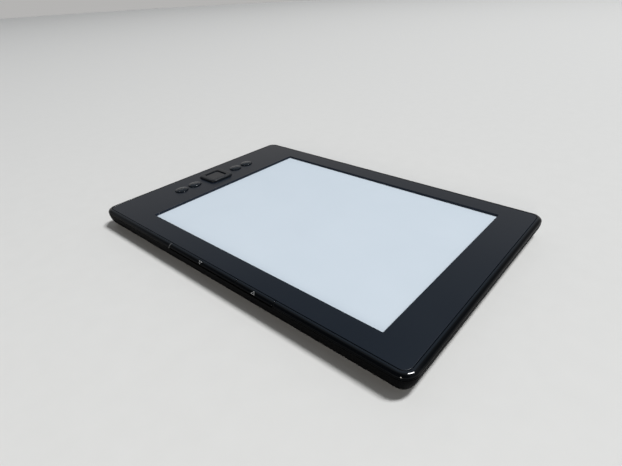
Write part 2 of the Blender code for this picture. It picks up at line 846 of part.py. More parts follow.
def make_display_flex(material):
    """Ribbon that leaves the glass, turns down past its edge and runs into its socket."""
    top = FILM_UNDER + FLEX_THICKNESS
    low = BOARD_TOP + CHIP_GAP + CONNECTOR_HEIGHT / 2
    centres = []
    for step in range(FLEX_BEND_STEPS + 1):
        angle = math.pi / 2 * step / FLEX_BEND_STEPS
        centres.append((math.sin(angle), math.cos(angle)))
    down = GLASS_NEAR - FLEX_BEND
    outer = [(GLASS_NEAR + FLEX_BOND, top)]
    inner = [(GLASS_NEAR + FLEX_BOND, top - FLEX_THICKNESS)]
    for out, up in centres:
        outer.append((GLASS_NEAR - FLEX_BEND * out, top - FLEX_BEND * (1 - up)))
        reach = FLEX_BEND - FLEX_THICKNESS
        inner.append((GLASS_NEAR - reach * out, top - FLEX_BEND + reach * up))
    turn = FLEX_BEND - FLEX_THICKNESS
    for out, up in reversed(centres):
        outer.append((down - turn * (1 - out), low + turn * (1 - up)))
        inner.append((down - turn + FLEX_BEND * out, low - FLEX_THICKNESS + FLEX_BEND * (1 - up)))
    end = connector_far() + LAYER_GAP
    outer.append((end, low))
    inner.append((end, low - FLEX_THICKNESS))
    outline = outer + inner[::-1]
    sides = span(FLEX_CENTRE_X, FLEX_WIDTH)
    add_piece("display_flex", loft([[(x, y, z) for y, z in outline] for x in sides]), material)


def connector_far():
    return GLASS_NEAR - CONNECTOR_REACH


def make_mid_frame(material):
    """Stiff plate with hinge lugs, switch shelves and board bosses."""
    half_x = WIDTH / 2 - FRAME_SIDE_SETBACK
    half_y = LENGTH / 2 - FRAME_END_SETBACK
    outline = rounded(half_x, half_y, FRAME_CORNER)
    plate = add_piece("mid_frame", prism(outline, FRAME_UNDER, FRAME_TOP), material)
    seat = FRAME_UNDER + FRAME_THICKNESS / 2
    additions = []
    for side in (1, -1):
        for _, start, end in page_keys():
            additions += [prism_along_y(lug_outline(side), *lug) for lug in lug_spans(start, end)]
        additions.append(prism_along_y(shelf_outline(side, seat), *side_board_span()))
    for place in board_screw_places():
        boss = disc(BOSS_RADIUS, SCREW_POINTS, place)
        additions.append(prism(boss, BOARD_TOP + LAYER_GAP, FRAME_UNDER + BOSS_SINK))
    unite(plate, additions)
    through = (FRAME_UNDER - CUT_OVERRUN, FRAME_TOP + CUT_OVERRUN)
    key_bay = block(span(0.0, KEY_BAY_WIDTH), (KEY_END, GLASS_NEAR), through)
    holes = [
        screw_hole(place, BOARD_UNDER, FRAME_TOP + CUT_OVERRUN)
        for place in [*rim_screw_places(), *board_screw_places()]
    ]
    hole_radius = HINGE_PIN_RADIUS + HINGE_PIN_CLEARANCE
    pin_holes = [
        prism_along_y(hinge_circle(side, hole_radius), PAGE_KEYS_START, PAGE_KEYS_END) for side in (1, -1)
    ]
    cut(plate, [key_bay, *holes, *pin_holes])


def hinge_circle(side, radius):
    """(x, z) circle about a side's page key hinge."""
    return disc(radius, HINGE_PIN_SIDES, (side_x(side, HINGE_SETBACK), HINGE_Z))


def lug_outline(side):
    """(x, z) outline of a hinge lug, rooted in the frame's edge."""
    seat = FRAME_UNDER + FRAME_THICKNESS / 4
    shoulder = FRAME_TOP - FRAME_THICKNESS / 4
    outer = HINGE_SETBACK - LUG_HALF_WIDTH
    inner = HINGE_SETBACK + LUG_HALF_WIDTH
    root = FRAME_SIDE_SETBACK + LUG_HALF_WIDTH
    top = HINGE_Z + LUG_RISE
    points = ((outer, seat), (root, seat), (root, shoulder), (inner, shoulder), (inner, top), (outer, top))
    return [(side_x(side, setback), z) for setback, z in points]


def shelf_outline(side, seat):
    """(x, z) outline of the angle that hangs from the frame's edge and carries a side board."""
    top = side_board_top() - SIDE_BOARD_THICKNESS - LAYER_GAP
    lip = skirt_inner() + SHELF_GAP
    web = FRAME_SIDE_SETBACK + LUG_HALF_WIDTH
    points = (
        (lip, top),
        (lip, top - SHELF_THICKNESS),
        (web + SHELF_WEB, top - SHELF_THICKNESS),
        (web + SHELF_WEB, seat),
        (web, seat),
        (web, top),
    )
    return [(side_x(side, setback), z) for setback, z in points]


def side_board_span():
    return (PAGE_KEYS_START - SIDE_BOARD_OVERRUN, PAGE_KEYS_END + SIDE_BOARD_OVERRUN)


def side_board_middle():
    """Setback of the line along which a side board's switches stand."""
    return skirt_inner() + SIDE_BOARD_GAP + SIDE_BOARD_WIDTH / 2


def side_board_top():
    return LEVER_UNDER - PRESS_NUB_DEPTH - PLUNGER_ROOM - PLUNGER_HEIGHT - SWITCH_HEIGHT - LAYER_GAP


def make_page_keys(key_material, board_material, switch_material):
    """Page keys hinged below the face plate, each above its switch on a side board."""
    board_top = side_board_top()
    switch_under = board_top + LAYER_GAP
    for side, hand in ((1, "right"), (-1, "left")):
        centre_x = side_x(side, side_board_middle())
        depth = (board_top - SIDE_BOARD_THICKNESS, board_top)
        strip = block(span(centre_x, SIDE_BOARD_WIDTH), side_board_span(), depth)
        add_piece(f"side_board_{hand}", strip, board_material)
        for name, start, end in page_keys():
            middle = (start + end) / 2
            make_page_key(f"{name}_{hand}", side, start, end, key_material)
            steps = (
                (SWITCH_WIDTH, SWITCH_LENGTH, switch_under),
                (SWITCH_WIDTH, SWITCH_LENGTH, switch_under + SWITCH_HEIGHT),
                (PLUNGER_WIDTH, PLUNGER_LENGTH, switch_under + SWITCH_HEIGHT),
                (PLUNGER_WIDTH, PLUNGER_LENGTH, switch_under + SWITCH_HEIGHT + PLUNGER_HEIGHT),
            )
            loops = [stepped_loop((centre_x, middle), *step) for step in steps]
            add_piece(
                f"{name}_switch_{hand}", loft(loops), switch_material, (centre_x, middle, switch_under)
            )


def stepped_loop(centre, width, length, z):
    return level(rectangle(span(centre[0], width), span(centre[1], length)), z)


def make_page_key(name, side, start, end, material):
    """Bevel bar, hidden lever with a round inner edge, hinge pin and the nub over the switch."""
    edge_z = COVER_TOP + PARTING_GAP + PAGE_KEY_TRAVEL_GAP
    web = BEVEL_WIDTH - PAGE_KEY_WEB
    bar = bevel_profile(edge_z)
    bar += [(web, edge_z), (web, HINGE_Z), (BEVEL_WIDTH, HINGE_Z)]
    axis = (side_x(side, HINGE_SETBACK), (start + end) / 2, HINGE_Z)
    bar_outline = [(side_x(side, setback), z) for setback, z in bar]
    key = add_piece(name, prism_along_y(bar_outline, start, end), material, axis)
    first, last = lug_spans(start, end)
    lever_span = (first[1] + PAGE_KEY_GAP, last[0] - PAGE_KEY_GAP)
    lever_top = LEVER_UNDER + LEVER_THICKNESS
    lever = [(web + LAYER_GAP, lever_top), (web + LAYER_GAP, LEVER_UNDER), (HINGE_SETBACK, LEVER_UNDER)]
    for step in range(1, BEVEL_STEPS):
        angle = math.pi * step / BEVEL_STEPS - math.pi / 2
        round_in = HINGE_BARREL_RADIUS * math.cos(angle)
        round_up = HINGE_BARREL_RADIUS * math.sin(angle)
        lever.append((HINGE_SETBACK + round_in, HINGE_Z + round_up))
    lever.append((HINGE_SETBACK, lever_top))
    lever_outline = [(side_x(side, setback), z) for setback, z in lever]
    unite(key, [prism_along_y(lever_outline, *lever_span)])
    nub = block(
        span(side_x(side, side_board_middle()), PLUNGER_WIDTH),
        span(axis[1], PRESS_NUB_LENGTH),
        (LEVER_UNDER - PRESS_NUB_DEPTH, LEVER_UNDER + LEVER_THICKNESS / 2),
    )
    pin = prism_along_y(
        hinge_circle(side, HINGE_PIN_RADIUS),
        lever_span[0] - PAGE_KEY_GAP - HINGE_PIN_REACH,
        lever_span[1] + PAGE_KEY_GAP + HINGE_PIN_REACH,
    )
    unite(key, [nub, pin])


def make_oval_keys(material):
    """Four crowned oval keys with a flange below the plate and a stem over a dome."""
    half_x = OVAL_WIDTH / 2
    half_y = OVAL_LENGTH / 2
    flange_top = PLATE_UNDER - LAYER_GAP
    flange_under = flange_top - KEY_FLANGE_THICKNESS
    edge = THICKNESS + OVAL_WALL_HEIGHT
    steps = [
        (STEM_RADIUS, STEM_RADIUS, STEM_UNDER),
        (STEM_RADIUS, STEM_RADIUS, flange_under),
        (OVAL_FLANGE_RADIUS, OVAL_FLANGE_RADIUS, flange_under),
        (OVAL_FLANGE_RADIUS, OVAL_FLANGE_RADIUS, flange_top),
        (half_x, half_y, flange_top),
        (half_x, half_y, edge),
    ]
    for step in range(1, CROWN_STEPS):
        share = 1 - step / CROWN_STEPS
        steps.append((half_x * share, half_y * share, edge + OVAL_CROWN * (1 - share * share)))
    for name, x in oval_key_places():
        place = (x, KEY_ROW_Y)
        loops = [level(oval(wide, long, OVAL_POINTS, place), z) for wide, long, z in steps]
        add_piece(name, loft(loops), material, (*place, THICKNESS))


def make_five_way(ring_material, select_material, backing_material):
    """Direction ring on its tilting backing, with the select key in its middle."""
    place = (0.0, KEY_ROW_Y)
    half_x = RING_WIDTH / 2
    half_y = RING_LENGTH / 2
    half_hole = SELECT_SIZE / 2 + KEY_GAP
    hole_corner = SELECT_CORNER + KEY_GAP
    top = THICKNESS + RING_RISE
    steps = (
        (half_hole, half_hole, hole_corner, RING_UNDER),
        (half_x + RING_FLANGE, half_y + RING_FLANGE, RING_CORNER + RING_FLANGE, RING_UNDER),
        (half_x + RING_FLANGE, half_y + RING_FLANGE, RING_CORNER + RING_FLANGE, RING_FLANGE_TOP),
        (half_x, half_y, RING_CORNER, RING_FLANGE_TOP),
        (half_x, half_y, RING_CORNER, top - RING_EDGE),
        (half_x - RING_EDGE, half_y - RING_EDGE, RING_CORNER - RING_EDGE, top),
        (half_hole, half_hole, hole_corner, top),
    )
    loops = [level(rounded(wide, long, corner, place), z) for wide, long, corner, z in steps]
    add_piece("rocker_ring", loft(loops, closed=True), ring_material, (*place, RING_UNDER))

    half = SELECT_SIZE / 2
    flange = half + SELECT_FLANGE
    flange_under = STEM_UNDER + LAYER_GAP
    flange_top = flange_under + SELECT_FLANGE_THICKNESS
    top = THICKNESS + SELECT_RISE
    steps = (
        (STEM_RADIUS, STEM_RADIUS, STEM_UNDER),
        (STEM_RADIUS, STEM_RADIUS, flange_under),
        (flange, SELECT_CORNER, flange_under),
        (flange, SELECT_CORNER, flange_top),
        (half, SELECT_CORNER, flange_top),
        (half, SELECT_CORNER, top - KEY_GAP),
        (half - KEY_GAP, SELECT_CORNER - KEY_GAP, top),
    )
    loops = [level(rounded(size, size, corner, place), z) for size, corner, z in steps]
    add_piece("select_key", loft(loops), select_material, (*place, THICKNESS))
    make_rocker_backing(place, flange + BACKING_HOLE_GAP, backing_material)


def make_rocker_backing(place, half_hole, material):
    """Thin frame that tilts up and down on two side nubs and carries the ring on two ridges."""
    half_x = RING_WIDTH / 2 - BACKING_SETBACK
    half_y = RING_LENGTH / 2 - BACKING_SETBACK
    hole = rounded(half_hole, half_hole, SELECT_CORNER, place)
    edge = rounded(half_x, half_y, RING_CORNER, place)
    axis_z = DOME_TOP + PIVOT_GAP
    backing = add_piece(
        "rocker_backing", frame(edge, hole, BACKING_UNDER, BACKING_TOP), material, (*place, axis_z)
    )
    middle = BACKING_UNDER + BACKING_THICKNESS / 2
    across = span(place[0], PIVOT_WIDTH)
    along = span(place[1], PIVOT_WIDTH)
    additions = []
    for way in (1, -1):
        side = sorted(place[0] + way * (half_x - reach) for reach in (0.0, PIVOT_LENGTH))
        end = sorted(place[1] + way * (half_y - reach) for reach in (0.0, PIVOT_LENGTH))
        inset_side = (side[0] + PIVOT_GAP, side[1] - PIVOT_GAP)
        inset_end = (end[0] + PIVOT_GAP, end[1] - PIVOT_GAP)
        additions.append(block(inset_side, along, (axis_z, middle)))
        additions.append(block(across, inset_end, (middle, RING_UNDER - PIVOT_GAP)))
    unite(backing, additions)


def make_dome_sheet(material):
    """Thin sheet with a snap dome under each oval key, each ring direction and the select key."""
    reach = OVAL_OUTER_X + DOME_RADIUS + SHEET_MARGIN
    half_strip = DOME_RADIUS + SHEET_MARGIN
    outline = [
        (-reach, -half_strip),
        (-SHEET_PATCH_X, -half_strip),
        (-SHEET_PATCH_X, -SHEET_PATCH_Y),
        (SHEET_PATCH_X, -SHEET_PATCH_Y),
        (SHEET_PATCH_X, -half_strip),
        (reach, -half_strip),
        (reach, half_strip),
        (SHEET_PATCH_X, half_strip),
        (SHEET_PATCH_X, SHEET_PATCH_Y),
        (-SHEET_PATCH_X, SHEET_PATCH_Y),
        (-SHEET_PATCH_X, half_strip),
        (-reach, half_strip),
    ]
    placed = [(x, KEY_ROW_Y + y) for x, y in outline]
    sheet = add_piece("dome_sheet", prism(placed, SHEET_UNDER, SHEET_TOP), material)
    places = [(x, 0.0) for _, x in oval_key_places()]
    places += [(-RING_DOME_X, 0.0), (0.0, 0.0), (RING_DOME_X, 0.0), (0.0, -RING_DOME_Y), (0.0, RING_DOME_Y)]
    domes = []
    for x, y in places:
        centre = (x, KEY_ROW_Y + y)
        foot = disc(DOME_RADIUS, DOME_SIDES, centre)
        crown = disc(DOME_TOP_RADIUS, DOME_SIDES, centre)
        root = SHEET_TOP - SHEET_THICKNESS / 2
        domes.append(loft([level(foot, root), level(foot, SHEET_TOP), level(crown, DOME_TOP)]))
    unite(sheet, domes)


def board_notches():
    """X span and depth of the notches in the board's lower edge."""
    return (
        (*span(LIGHT_X, 2 * LIGHT_FLANGE_RADIUS + 2 * PORT_GAP), led_back() + PORT_GAP),
        (*span(USB_X, USB_WIDTH + 2 * PORT_GAP), usb_back() + PORT_GAP),
        (*span(POWER_X, POWER_WIDTH + 2 * POWER_FLANGE + 2 * PORT_GAP), power_switch_back() + PORT_GAP),
    )


def led_back():
    return light_flange_front() + LIGHT_FLANGE_THICKNESS + PORT_GAP + LED_SIZE[1]


def power_plunger_front():
    return power_flange_front() + POWER_FLANGE_THICKNESS + POWER_TRAVEL + TRAVEL_CLEARANCE


def power_switch_back():
    return power_plunger_front() + POWER_PLUNGER_SIZE[1] + POWER_SWITCH_SIZE[1]


def make_main_board(material):
    """Board at the key end, notched for what sits in its lower edge."""
    half_x = BOARD_WIDTH / 2
    outline = [(-half_x, BOARD_NEAR)]
    for low, high, depth in board_notches():
        outline += [(low, BOARD_NEAR), (low, depth), (high, depth), (high, BOARD_NEAR)]
    outline += [(half_x, BOARD_NEAR), (half_x, BOARD_FAR), (-half_x, BOARD_FAR)]
    board = add_piece("main_board", prism(outline, BOARD_UNDER, BOARD_TOP), material)
    through = (BOARD_UNDER - CUT_OVERRUN, BOARD_TOP + CUT_OVERRUN)
    cut(board, [screw_hole(place, *through) for place in board_screw_places()])


def add_chip(name, size, place, material):
    """A flat package on the back of the board. Its place is X and the distance from the board's edge."""
    wide, long, high = size
    centre = (place[0], BOARD_NEAR + place[1])
    body = rounded(wide / 2, long / 2, CHIP_CORNER, centre)
    add_piece(name, prism(body, CHIP_TOP - high, CHIP_TOP), material, (*centre, CHIP_TOP))


def make_chips(chip_material, shield_material, plug_material):
    add_chip("processor", PROCESSOR_SIZE, PROCESSOR_PLACE, chip_material)
    add_chip("memory_chip", MEMORY_SIZE, MEMORY_PLACE, chip_material)
    add_chip("storage_chip", STORAGE_SIZE, STORAGE_PLACE, chip_material)
    add_chip("power_chip", POWER_CHIP_SIZE, POWER_CHIP_PLACE, chip_material)
    add_chip("radio_module", RADIO_SIZE, RADIO_PLACE, shield_material)
    add_chip("battery_connector", BATTERY_PLUG_SIZE, BATTERY_PLUG_PLACE, plug_material)
    make_shield_can(shield_material)
    low = BOARD_TOP + CHIP_GAP
    far = connector_far()
    socket = block(
        span(FLEX_CENTRE_X, FLEX_WIDTH + 2 * CONNECTOR_END),
        (far - CONNECTOR_LENGTH, far),
        (low, low + CONNECTOR_HEIGHT),
    )
    add_piece("display_connector", socket, plug_material)


def make_shield_can(material):
    """Thin lid over the processor and the memory, open towards the board."""
    centre = (SHIELD_PLACE[0], BOARD_NEAR + SHIELD_PLACE[1])
    half_x = SHIELD_SIZE[0] / 2
    half_y = SHIELD_SIZE[1] / 2
    outer = rounded(half_x, half_y, SHIELD_CORNER, centre)
    inner = rounded(half_x - SHIELD_WALL, half_y - SHIELD_WALL, SHIELD_CORNER - SHIELD_WALL, centre)
    low = CHIP_TOP - SHIELD_HEIGHT
    loops = [
        level(outer, low),
        level(outer, CHIP_TOP),
        level(inner, CHIP_TOP),
        level(inner, low + SHIELD_WALL),
    ]
    add_piece("shield_can", loft(loops), material, (*centre, CHIP_TOP))


def make_usb(shell_material, tongue_material):
    """Folded metal inlet with its back closed, and the contact tongue inside it."""
    front = usb_front()
    back = usb_back()
    floor = back - USB_WALL
    outer = usb_outline(0.0)
    inner = usb_outline(-USB_WALL)
    loops = [
        [(x, y, z) for x, z in outline]
        for outline, y in ((outer, back), (outer, front), (inner, front), (inner, floor))
    ]
    add_piece("usb_shell", loft(loops), shell_material, (USB_X, front, PORT_Z))
    tongue_end = floor - LAYER_GAP
    tongue = block(
        span(USB_X, TONGUE_WIDTH),
        (tongue_end - TONGUE_LENGTH, tongue_end),
        span(PORT_Z + TONGUE_LIFT, TONGUE_HEIGHT),
    )
    add_piece("usb_tongue", tongue, tongue_material)


def make_power_button(button_material, switch_material):
    """Flanged button in the lower edge and the side-pressed switch behind it."""
    front = KEY_END + cover_setback(0.0, PORT_Z) - POWER_PROUD
    flange_front = power_flange_front()
    flange_back = flange_front + POWER_FLANGE_THICKNESS
    body = power_outline(0.0)
    flange = power_outline(POWER_FLANGE)
    steps = ((body, front), (body, flange_front), (flange, flange_front), (flange, flange_back))
    loops = [[(x, y, z) for x, z in outline] for outline, y in steps]
    add_piece("power_button", loft(loops), button_material, (POWER_X, front, PORT_Z))
    plunger_front = power_plunger_front()
    body_front = plunger_front + POWER_PLUNGER_SIZE[1]
    steps = (
        (POWER_PLUNGER_SIZE, plunger_front),
        (POWER_PLUNGER_SIZE, body_front),
        (POWER_SWITCH_SIZE, body_front),
        (POWER_SWITCH_SIZE, power_switch_back()),
    )
    loops = []
    for size, y in steps:
        outline = rectangle(span(POWER_X, size[0]), span(PORT_Z, size[2]))
        loops.append([(x, y, z) for x, z in outline])
    add_piece("power_switch", loft(loops), switch_material, (POWER_X, plunger_front, PORT_Z))


def make_charge_light(pipe_material, led_material):
    """Clear flanged pipe in the lower edge and the small light behind it."""
    front = KEY_END + cover_setback(0.0, PORT_Z)
    flange_front = light_flange_front()
    flange_back = flange_front + LIGHT_FLANGE_THICKNESS
    steps = (
        (LIGHT_RADIUS, front),
        (LIGHT_RADIUS, flange_front),
        (LIGHT_FLANGE_RADIUS, flange_front),
        (LIGHT_FLANGE_RADIUS, flange_back),
    )
    loops = [[(x, y, z) for x, z in light_outline(radius)] for radius, y in steps]
    add_piece("light_pipe", loft(loops), pipe_material, (LIGHT_X, front, PORT_Z))
    wide, long, high = LED_SIZE
    back = led_back()
    lamp = block(span(LIGHT_X, wide), (back - long, back), span(PORT_Z, high))
    add_piece("status_led", lamp, led_material)


def battery_near():
    return BOARD_FAR + BATTERY_GAP


def make_battery(cell_material, pad_material, board_material, red, black):
    """Pouch cell on an adhesive pad, its small board and two leads to the main board."""
    near = battery_near()
    centre = (0.0, near + BATTERY_LENGTH / 2)
    pad_top = FRAME_UNDER - LAYER_GAP
    pad_under = pad_top - BATTERY_PAD_THICKNESS
    half_pad_x = BATTERY_WIDTH / 2 - BATTERY_PAD_MARGIN
    half_pad_y = BATTERY_LENGTH / 2 - BATTERY_PAD_MARGIN
    pad = rounded(half_pad_x, half_pad_y, BATTERY_CORNER, centre)
    add_piece("battery_pad", prism(pad, pad_under, pad_top), pad_material, (*centre, pad_top))
    top = pad_under - LAYER_GAP
    low = COVER_WALL + BATTERY_FLOOR_GAP
    half_x = BATTERY_WIDTH / 2
    half_y = BATTERY_LENGTH / 2
    full = rounded(half_x, half_y, BATTERY_CORNER, centre)
    eased = rounded(half_x - BATTERY_EDGE, half_y - BATTERY_EDGE, BATTERY_CORNER - BATTERY_EDGE, centre)
    loops = [
        level(eased, low),
        level(full, low + BATTERY_EDGE),
        level(full, top - BATTERY_EDGE),
        level(eased, top),
    ]
    add_piece("battery_cell", loft(loops), cell_material, (*centre, low))

    wide, long, high = BATTERY_BOARD_SIZE
    board_far = near - BATTERY_BOARD_GAP
    strip_low = low + BATTERY_EDGE
    strip = block(span(0.0, wide), (board_far - long, board_far), (strip_low, strip_low + high))
    add_piece("battery_board", strip, board_material)
    plug_far = BOARD_NEAR + BATTERY_PLUG_PLACE[1] + BATTERY_PLUG_SIZE[1] / 2
    plug_z = CHIP_TOP - BATTERY_PLUG_SIZE[2] / 2
    start = (board_far - long - BATTERY_BOARD_GAP, strip_low + high / 2)
    eased_by = BOARD_FAR + WIRE_RADIUS
    end = plug_far + BATTERY_BOARD_GAP
    for name, way, material in (("battery_wire_red", 1, red), ("battery_wire_black", -1, black)):
        x = BATTERY_PLUG_PLACE[0] + way * WIRE_SPACING / 2
        route = []
        for i in range(WIRE_POINTS):
            y = start[0] + (end - start[0]) * i / (WIRE_POINTS - 1)
            t = min((start[0] - y) / (start[0] - eased_by), 1.0)
            ease = t * t * (3 - 2 * t)
            route.append(Vector((x, y, start[1] + (plug_z - start[1]) * ease)))
        add_wire(name, route, WIRE_RADIUS, material)


def make_antenna(antenna_material, cable_material):
    """Flat antenna on the frame's far end and the thin cable that joins it to the radio."""
    wide, long, high = ANTENNA_SIZE
    top = FRAME_UNDER - LAYER_GAP
    y = FAR_END - ANTENNA_SETBACK
    strip = block(span(ANTENNA_CENTRE_X, wide), span(y, long), (top - high, top))
    add_piece("wifi_antenna", strip, antenna_material)
    cable_z = top - high - BATTERY_BOARD_GAP - CABLE_RADIUS
    radio_edge = RADIO_PLACE[0] - RADIO_SIZE[0] / 2 - BATTERY_BOARD_GAP
    radio_y = BOARD_NEAR + RADIO_PLACE[1]
    radio_z = CHIP_TOP - RADIO_SIZE[2] / 2
    points = (
        (ANTENNA_CENTRE_X - wide / 2 + CABLE_BEND, y, cable_z),
        (CABLE_X + CABLE_BEND / 2, y - CABLE_BEND / 2, cable_z),
        (CABLE_X, y - CABLE_EASE, cable_z),
        (CABLE_X, y - CABLE_STRAIGHT, cable_z),
        (CABLE_X, BOARD_FAR + 2 * CABLE_EASE, cable_z),
        (CABLE_X, BOARD_FAR + CABLE_BEND, cable_z),
        (CABLE_X, BOARD_FAR, radio_z),
        (CABLE_X, radio_y + CABLE_BEND / 2, radio_z),
        (radio_edge - CABLE_END, radio_y, radio_z),
        (radio_edge, radio_y, radio_z),
    )
    add_wire("antenna_cable", smooth_route(points, CABLE_POINTS), CABLE_RADIUS, cable_material)


def add_screw(name, place, seat, tip, material):
    """A small screw driven in from the back, with a six-lobed recess in its head."""
    head = seat - SCREW_HEAD_HEIGHT
    recess = []
    for i, (x, y) in enumerate(oval(1.0, 1.0, SCREW_POINTS)):
        radius = SCREW_RECESS_INNER if i % 2 else SCREW_RECESS_OUTER
        recess.append((place[0] + radius * x, place[1] + radius * y))
    shank = disc(SCREW_RADIUS, SCREW_POINTS, place)
    rim = disc(SCREW_HEAD_RADIUS, SCREW_POINTS, place)
    loops = [
        level(shank, tip),
        level(shank, seat),
        level(rim, seat),
        level(rim, head),
        level(recess, head),
        level(recess, head + SCREW_RECESS_DEPTH),
    ]
    add_piece(name, loft(loops), material, (*place, seat))


def make_screws(material):
    frame_seat = FRAME_UNDER - SCREW_SEAT_GAP
    for number, place in enumerate(rim_screw_places(), start=1):
        add_screw(f"rim_screw_{number}", place, frame_seat, LEDGE_TOP - SCREW_TIP_ROOM, material)
    board_seat = BOARD_UNDER - SCREW_SEAT_GAP
    for number, place in enumerate(board_screw_places(), start=1):
        add_screw(f"board_screw_{number}", place, board_seat, FRAME_TOP - SCREW_TIP_ROOM, material)


clear_scene()
reader = bpy.data.objects.new("e_reader", None)
bpy.context.scene.collection.objects.link(reader)

face_black = finish("face_black", (0.030, 0.032, 0.036), 0.55)
rim_black = finish("rim_black", (0.018, 0.019, 0.021), 0.30)
cover_grey = finish("cover_grey", (0.035, 0.036, 0.038), 0.65)
key_black = finish("key_black", (0.025, 0.026, 0.029), 0.50)
ring_black = finish("ring_black", (0.020, 0.021, 0.023), 0.45)
paper_white = finish("paper_white", (0.62, 0.68, 0.74), 0.80)
glass_grey = finish("glass_grey", (0.20, 0.24, 0.24), 0.10)
foam_black = finish("foam_black", (0.020, 0.020, 0.020), 0.95)
ribbon_amber = finish("ribbon_amber", (0.45, 0.22, 0.04), 0.45)
frame_magnesium = finish("frame_magnesium", (0.32, 0.33, 0.34), 0.50, 0.9)
board_green = finish("board_green", (0.010, 0.090, 0.035), 0.45)
chip_black = finish("chip_black", (0.015, 0.015, 0.016), 0.55)
shield_steel = finish("shield_steel", (0.55, 0.56, 0.56), 0.30, 1.0)
plug_ivory = finish("plug_ivory", (0.70, 0.66, 0.55), 0.50)
switch_dark = finish("switch_dark", (0.040, 0.040, 0.042), 0.50)
dome_film = finish("dome_film", (0.50, 0.50, 0.48), 0.40, 0.6)
cell_silver = finish("cell_silver", (0.42, 0.43, 0.45), 0.40, 0.7)
pad_grey = finish("pad_grey", (0.30, 0.30, 0.30), 0.90)
lead_red = finish("lead_red", (0.45, 0.02, 0.02), 0.45)
lead_black = finish("lead_black", (0.015, 0.015, 0.015), 0.45)
contact_gold = finish("contact_gold", (0.80, 0.58, 0.22), 0.25, 1.0)
pipe_clear = finish("pipe_clear", (0.75, 0.78, 0.74), 0.15)
led_white = finish("led_white", (0.80, 0.80, 0.72), 0.35)
antenna_copper = finish("antenna_copper", (0.55, 0.30, 0.14), 0.40, 0.8)
screw_steel = finish("screw_steel", (0.30, 0.30, 0.31), 0.35, 1.0)

make_front_bezel(face_black)
make_rim_frame(rim_black)
make_rear_cover(cover_grey)
make_contacts(contact_gold)
make_display(paper_white, glass_grey, foam_black, ribbon_amber)
make_mid_frame(frame_magnesium)
make_page_keys(rim_black, board_green, switch_dark)
make_oval_keys(key_black)
make_five_way(ring_black, key_black, switch_dark)
make_dome_sheet(dome_film)
make_main_board(board_green)
make_chips(chip_black, shield_steel, plug_ivory)
make_usb(shield_steel, chip_black)
make_power_button(key_black, switch_dark)
make_charge_light(pipe_clear, led_white)
make_battery(cell_silver, pad_grey, board_green, lead_red, lead_black)
make_antenna(antenna_copper, lead_black)
make_screws(screw_steel)
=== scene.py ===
"""Looks of the e-reader: finishes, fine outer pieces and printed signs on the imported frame, in a studio."""

import math

import bmesh
import bpy
from mathutils import Matrix, Vector


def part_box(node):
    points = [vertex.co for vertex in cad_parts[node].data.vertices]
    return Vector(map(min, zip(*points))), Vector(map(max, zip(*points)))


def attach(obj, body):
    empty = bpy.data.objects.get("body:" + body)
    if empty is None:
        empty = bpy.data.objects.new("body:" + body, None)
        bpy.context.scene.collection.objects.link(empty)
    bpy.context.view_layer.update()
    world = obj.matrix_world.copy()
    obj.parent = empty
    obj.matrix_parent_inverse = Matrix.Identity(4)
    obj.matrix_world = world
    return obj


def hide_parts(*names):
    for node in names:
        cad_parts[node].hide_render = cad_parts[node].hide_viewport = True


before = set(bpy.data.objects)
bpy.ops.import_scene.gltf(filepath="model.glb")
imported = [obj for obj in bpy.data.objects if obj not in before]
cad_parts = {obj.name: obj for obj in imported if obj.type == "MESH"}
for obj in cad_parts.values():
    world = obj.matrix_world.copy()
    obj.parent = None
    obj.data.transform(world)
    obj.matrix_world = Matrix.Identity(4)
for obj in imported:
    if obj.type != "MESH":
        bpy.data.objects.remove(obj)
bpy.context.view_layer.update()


# Inner frame: the stiff plate that everything else is screwed to. Cast magnesium, left as it comes out of
# the die, so it is grey, a little blotchy, and has a fine sandy skin.

MM = 0.001


class Value:
    """A shader socket that takes part in Python expressions."""

    def __init__(self, shading, socket):
        self.shading = shading
        self.socket = socket

    def math(self, operation, *terms):
        return self.shading.node("ShaderNodeMath", {"operation": operation}, dict(enumerate(terms)))

    def __add__(self, other):
        return self.math("ADD", self, other)

    def __radd__(self, other):
        return self.math("ADD", other, self)

    def __sub__(self, other):
        return self.math("SUBTRACT", self, other)

    def __rsub__(self, other):
        return self.math("SUBTRACT", other, self)

    def __mul__(self, other):
        return self.math("MULTIPLY", self, other)

    def __rmul__(self, other):
        return self.math("MULTIPLY", other, self)

    def __gt__(self, other):
        return self.math("GREATER_THAN", self, other)

    def __abs__(self):
        return self.math("ABSOLUTE", self)

    def most(self, other):
        return self.math("MAXIMUM", self, other)

    def wave(self, pitch):
        """A sine along the value, one full turn each pitch."""
        return self.math("SINE", self * (2 * math.pi / pitch))

    def ramp(self, low, high):
        """A smooth rise from 0 at low to 1 at high."""
        sockets = {"Value": self, "From Min": low, "From Max": high}
        return self.shading.node("ShaderNodeMapRange", {"interpolation_type": "SMOOTHSTEP"}, sockets)


class Shading:
    """A node tree that is being wired up."""

    def __init__(self, tree):
        self.tree = tree

    def node(self, kind, settings=None, sockets=None, output=0):
        """Any node: its settings first, then the values or links of its sockets."""
        made = self.tree.nodes.new(kind)
        for key, setting in (settings or {}).items():
            setattr(made, key, setting)
        self.feed(made, sockets or {})
        return Value(self, made.outputs[output])

    def feed(self, node, sockets):
        for key, value in sockets.items():
            socket = node.inputs[key]
            if isinstance(value, Value):
                self.tree.links.new(value.socket, socket)
            elif socket.type == "RGBA":
                socket.default_value = (*value, 1.0)
            else:
                socket.default_value = value

    def blend(self, factor, first, second):
        """One colour going over to another."""
        return self.node("ShaderNodeMix", {"data_type": "RGBA"}, {0: factor, 6: first, 7: second}, 2)


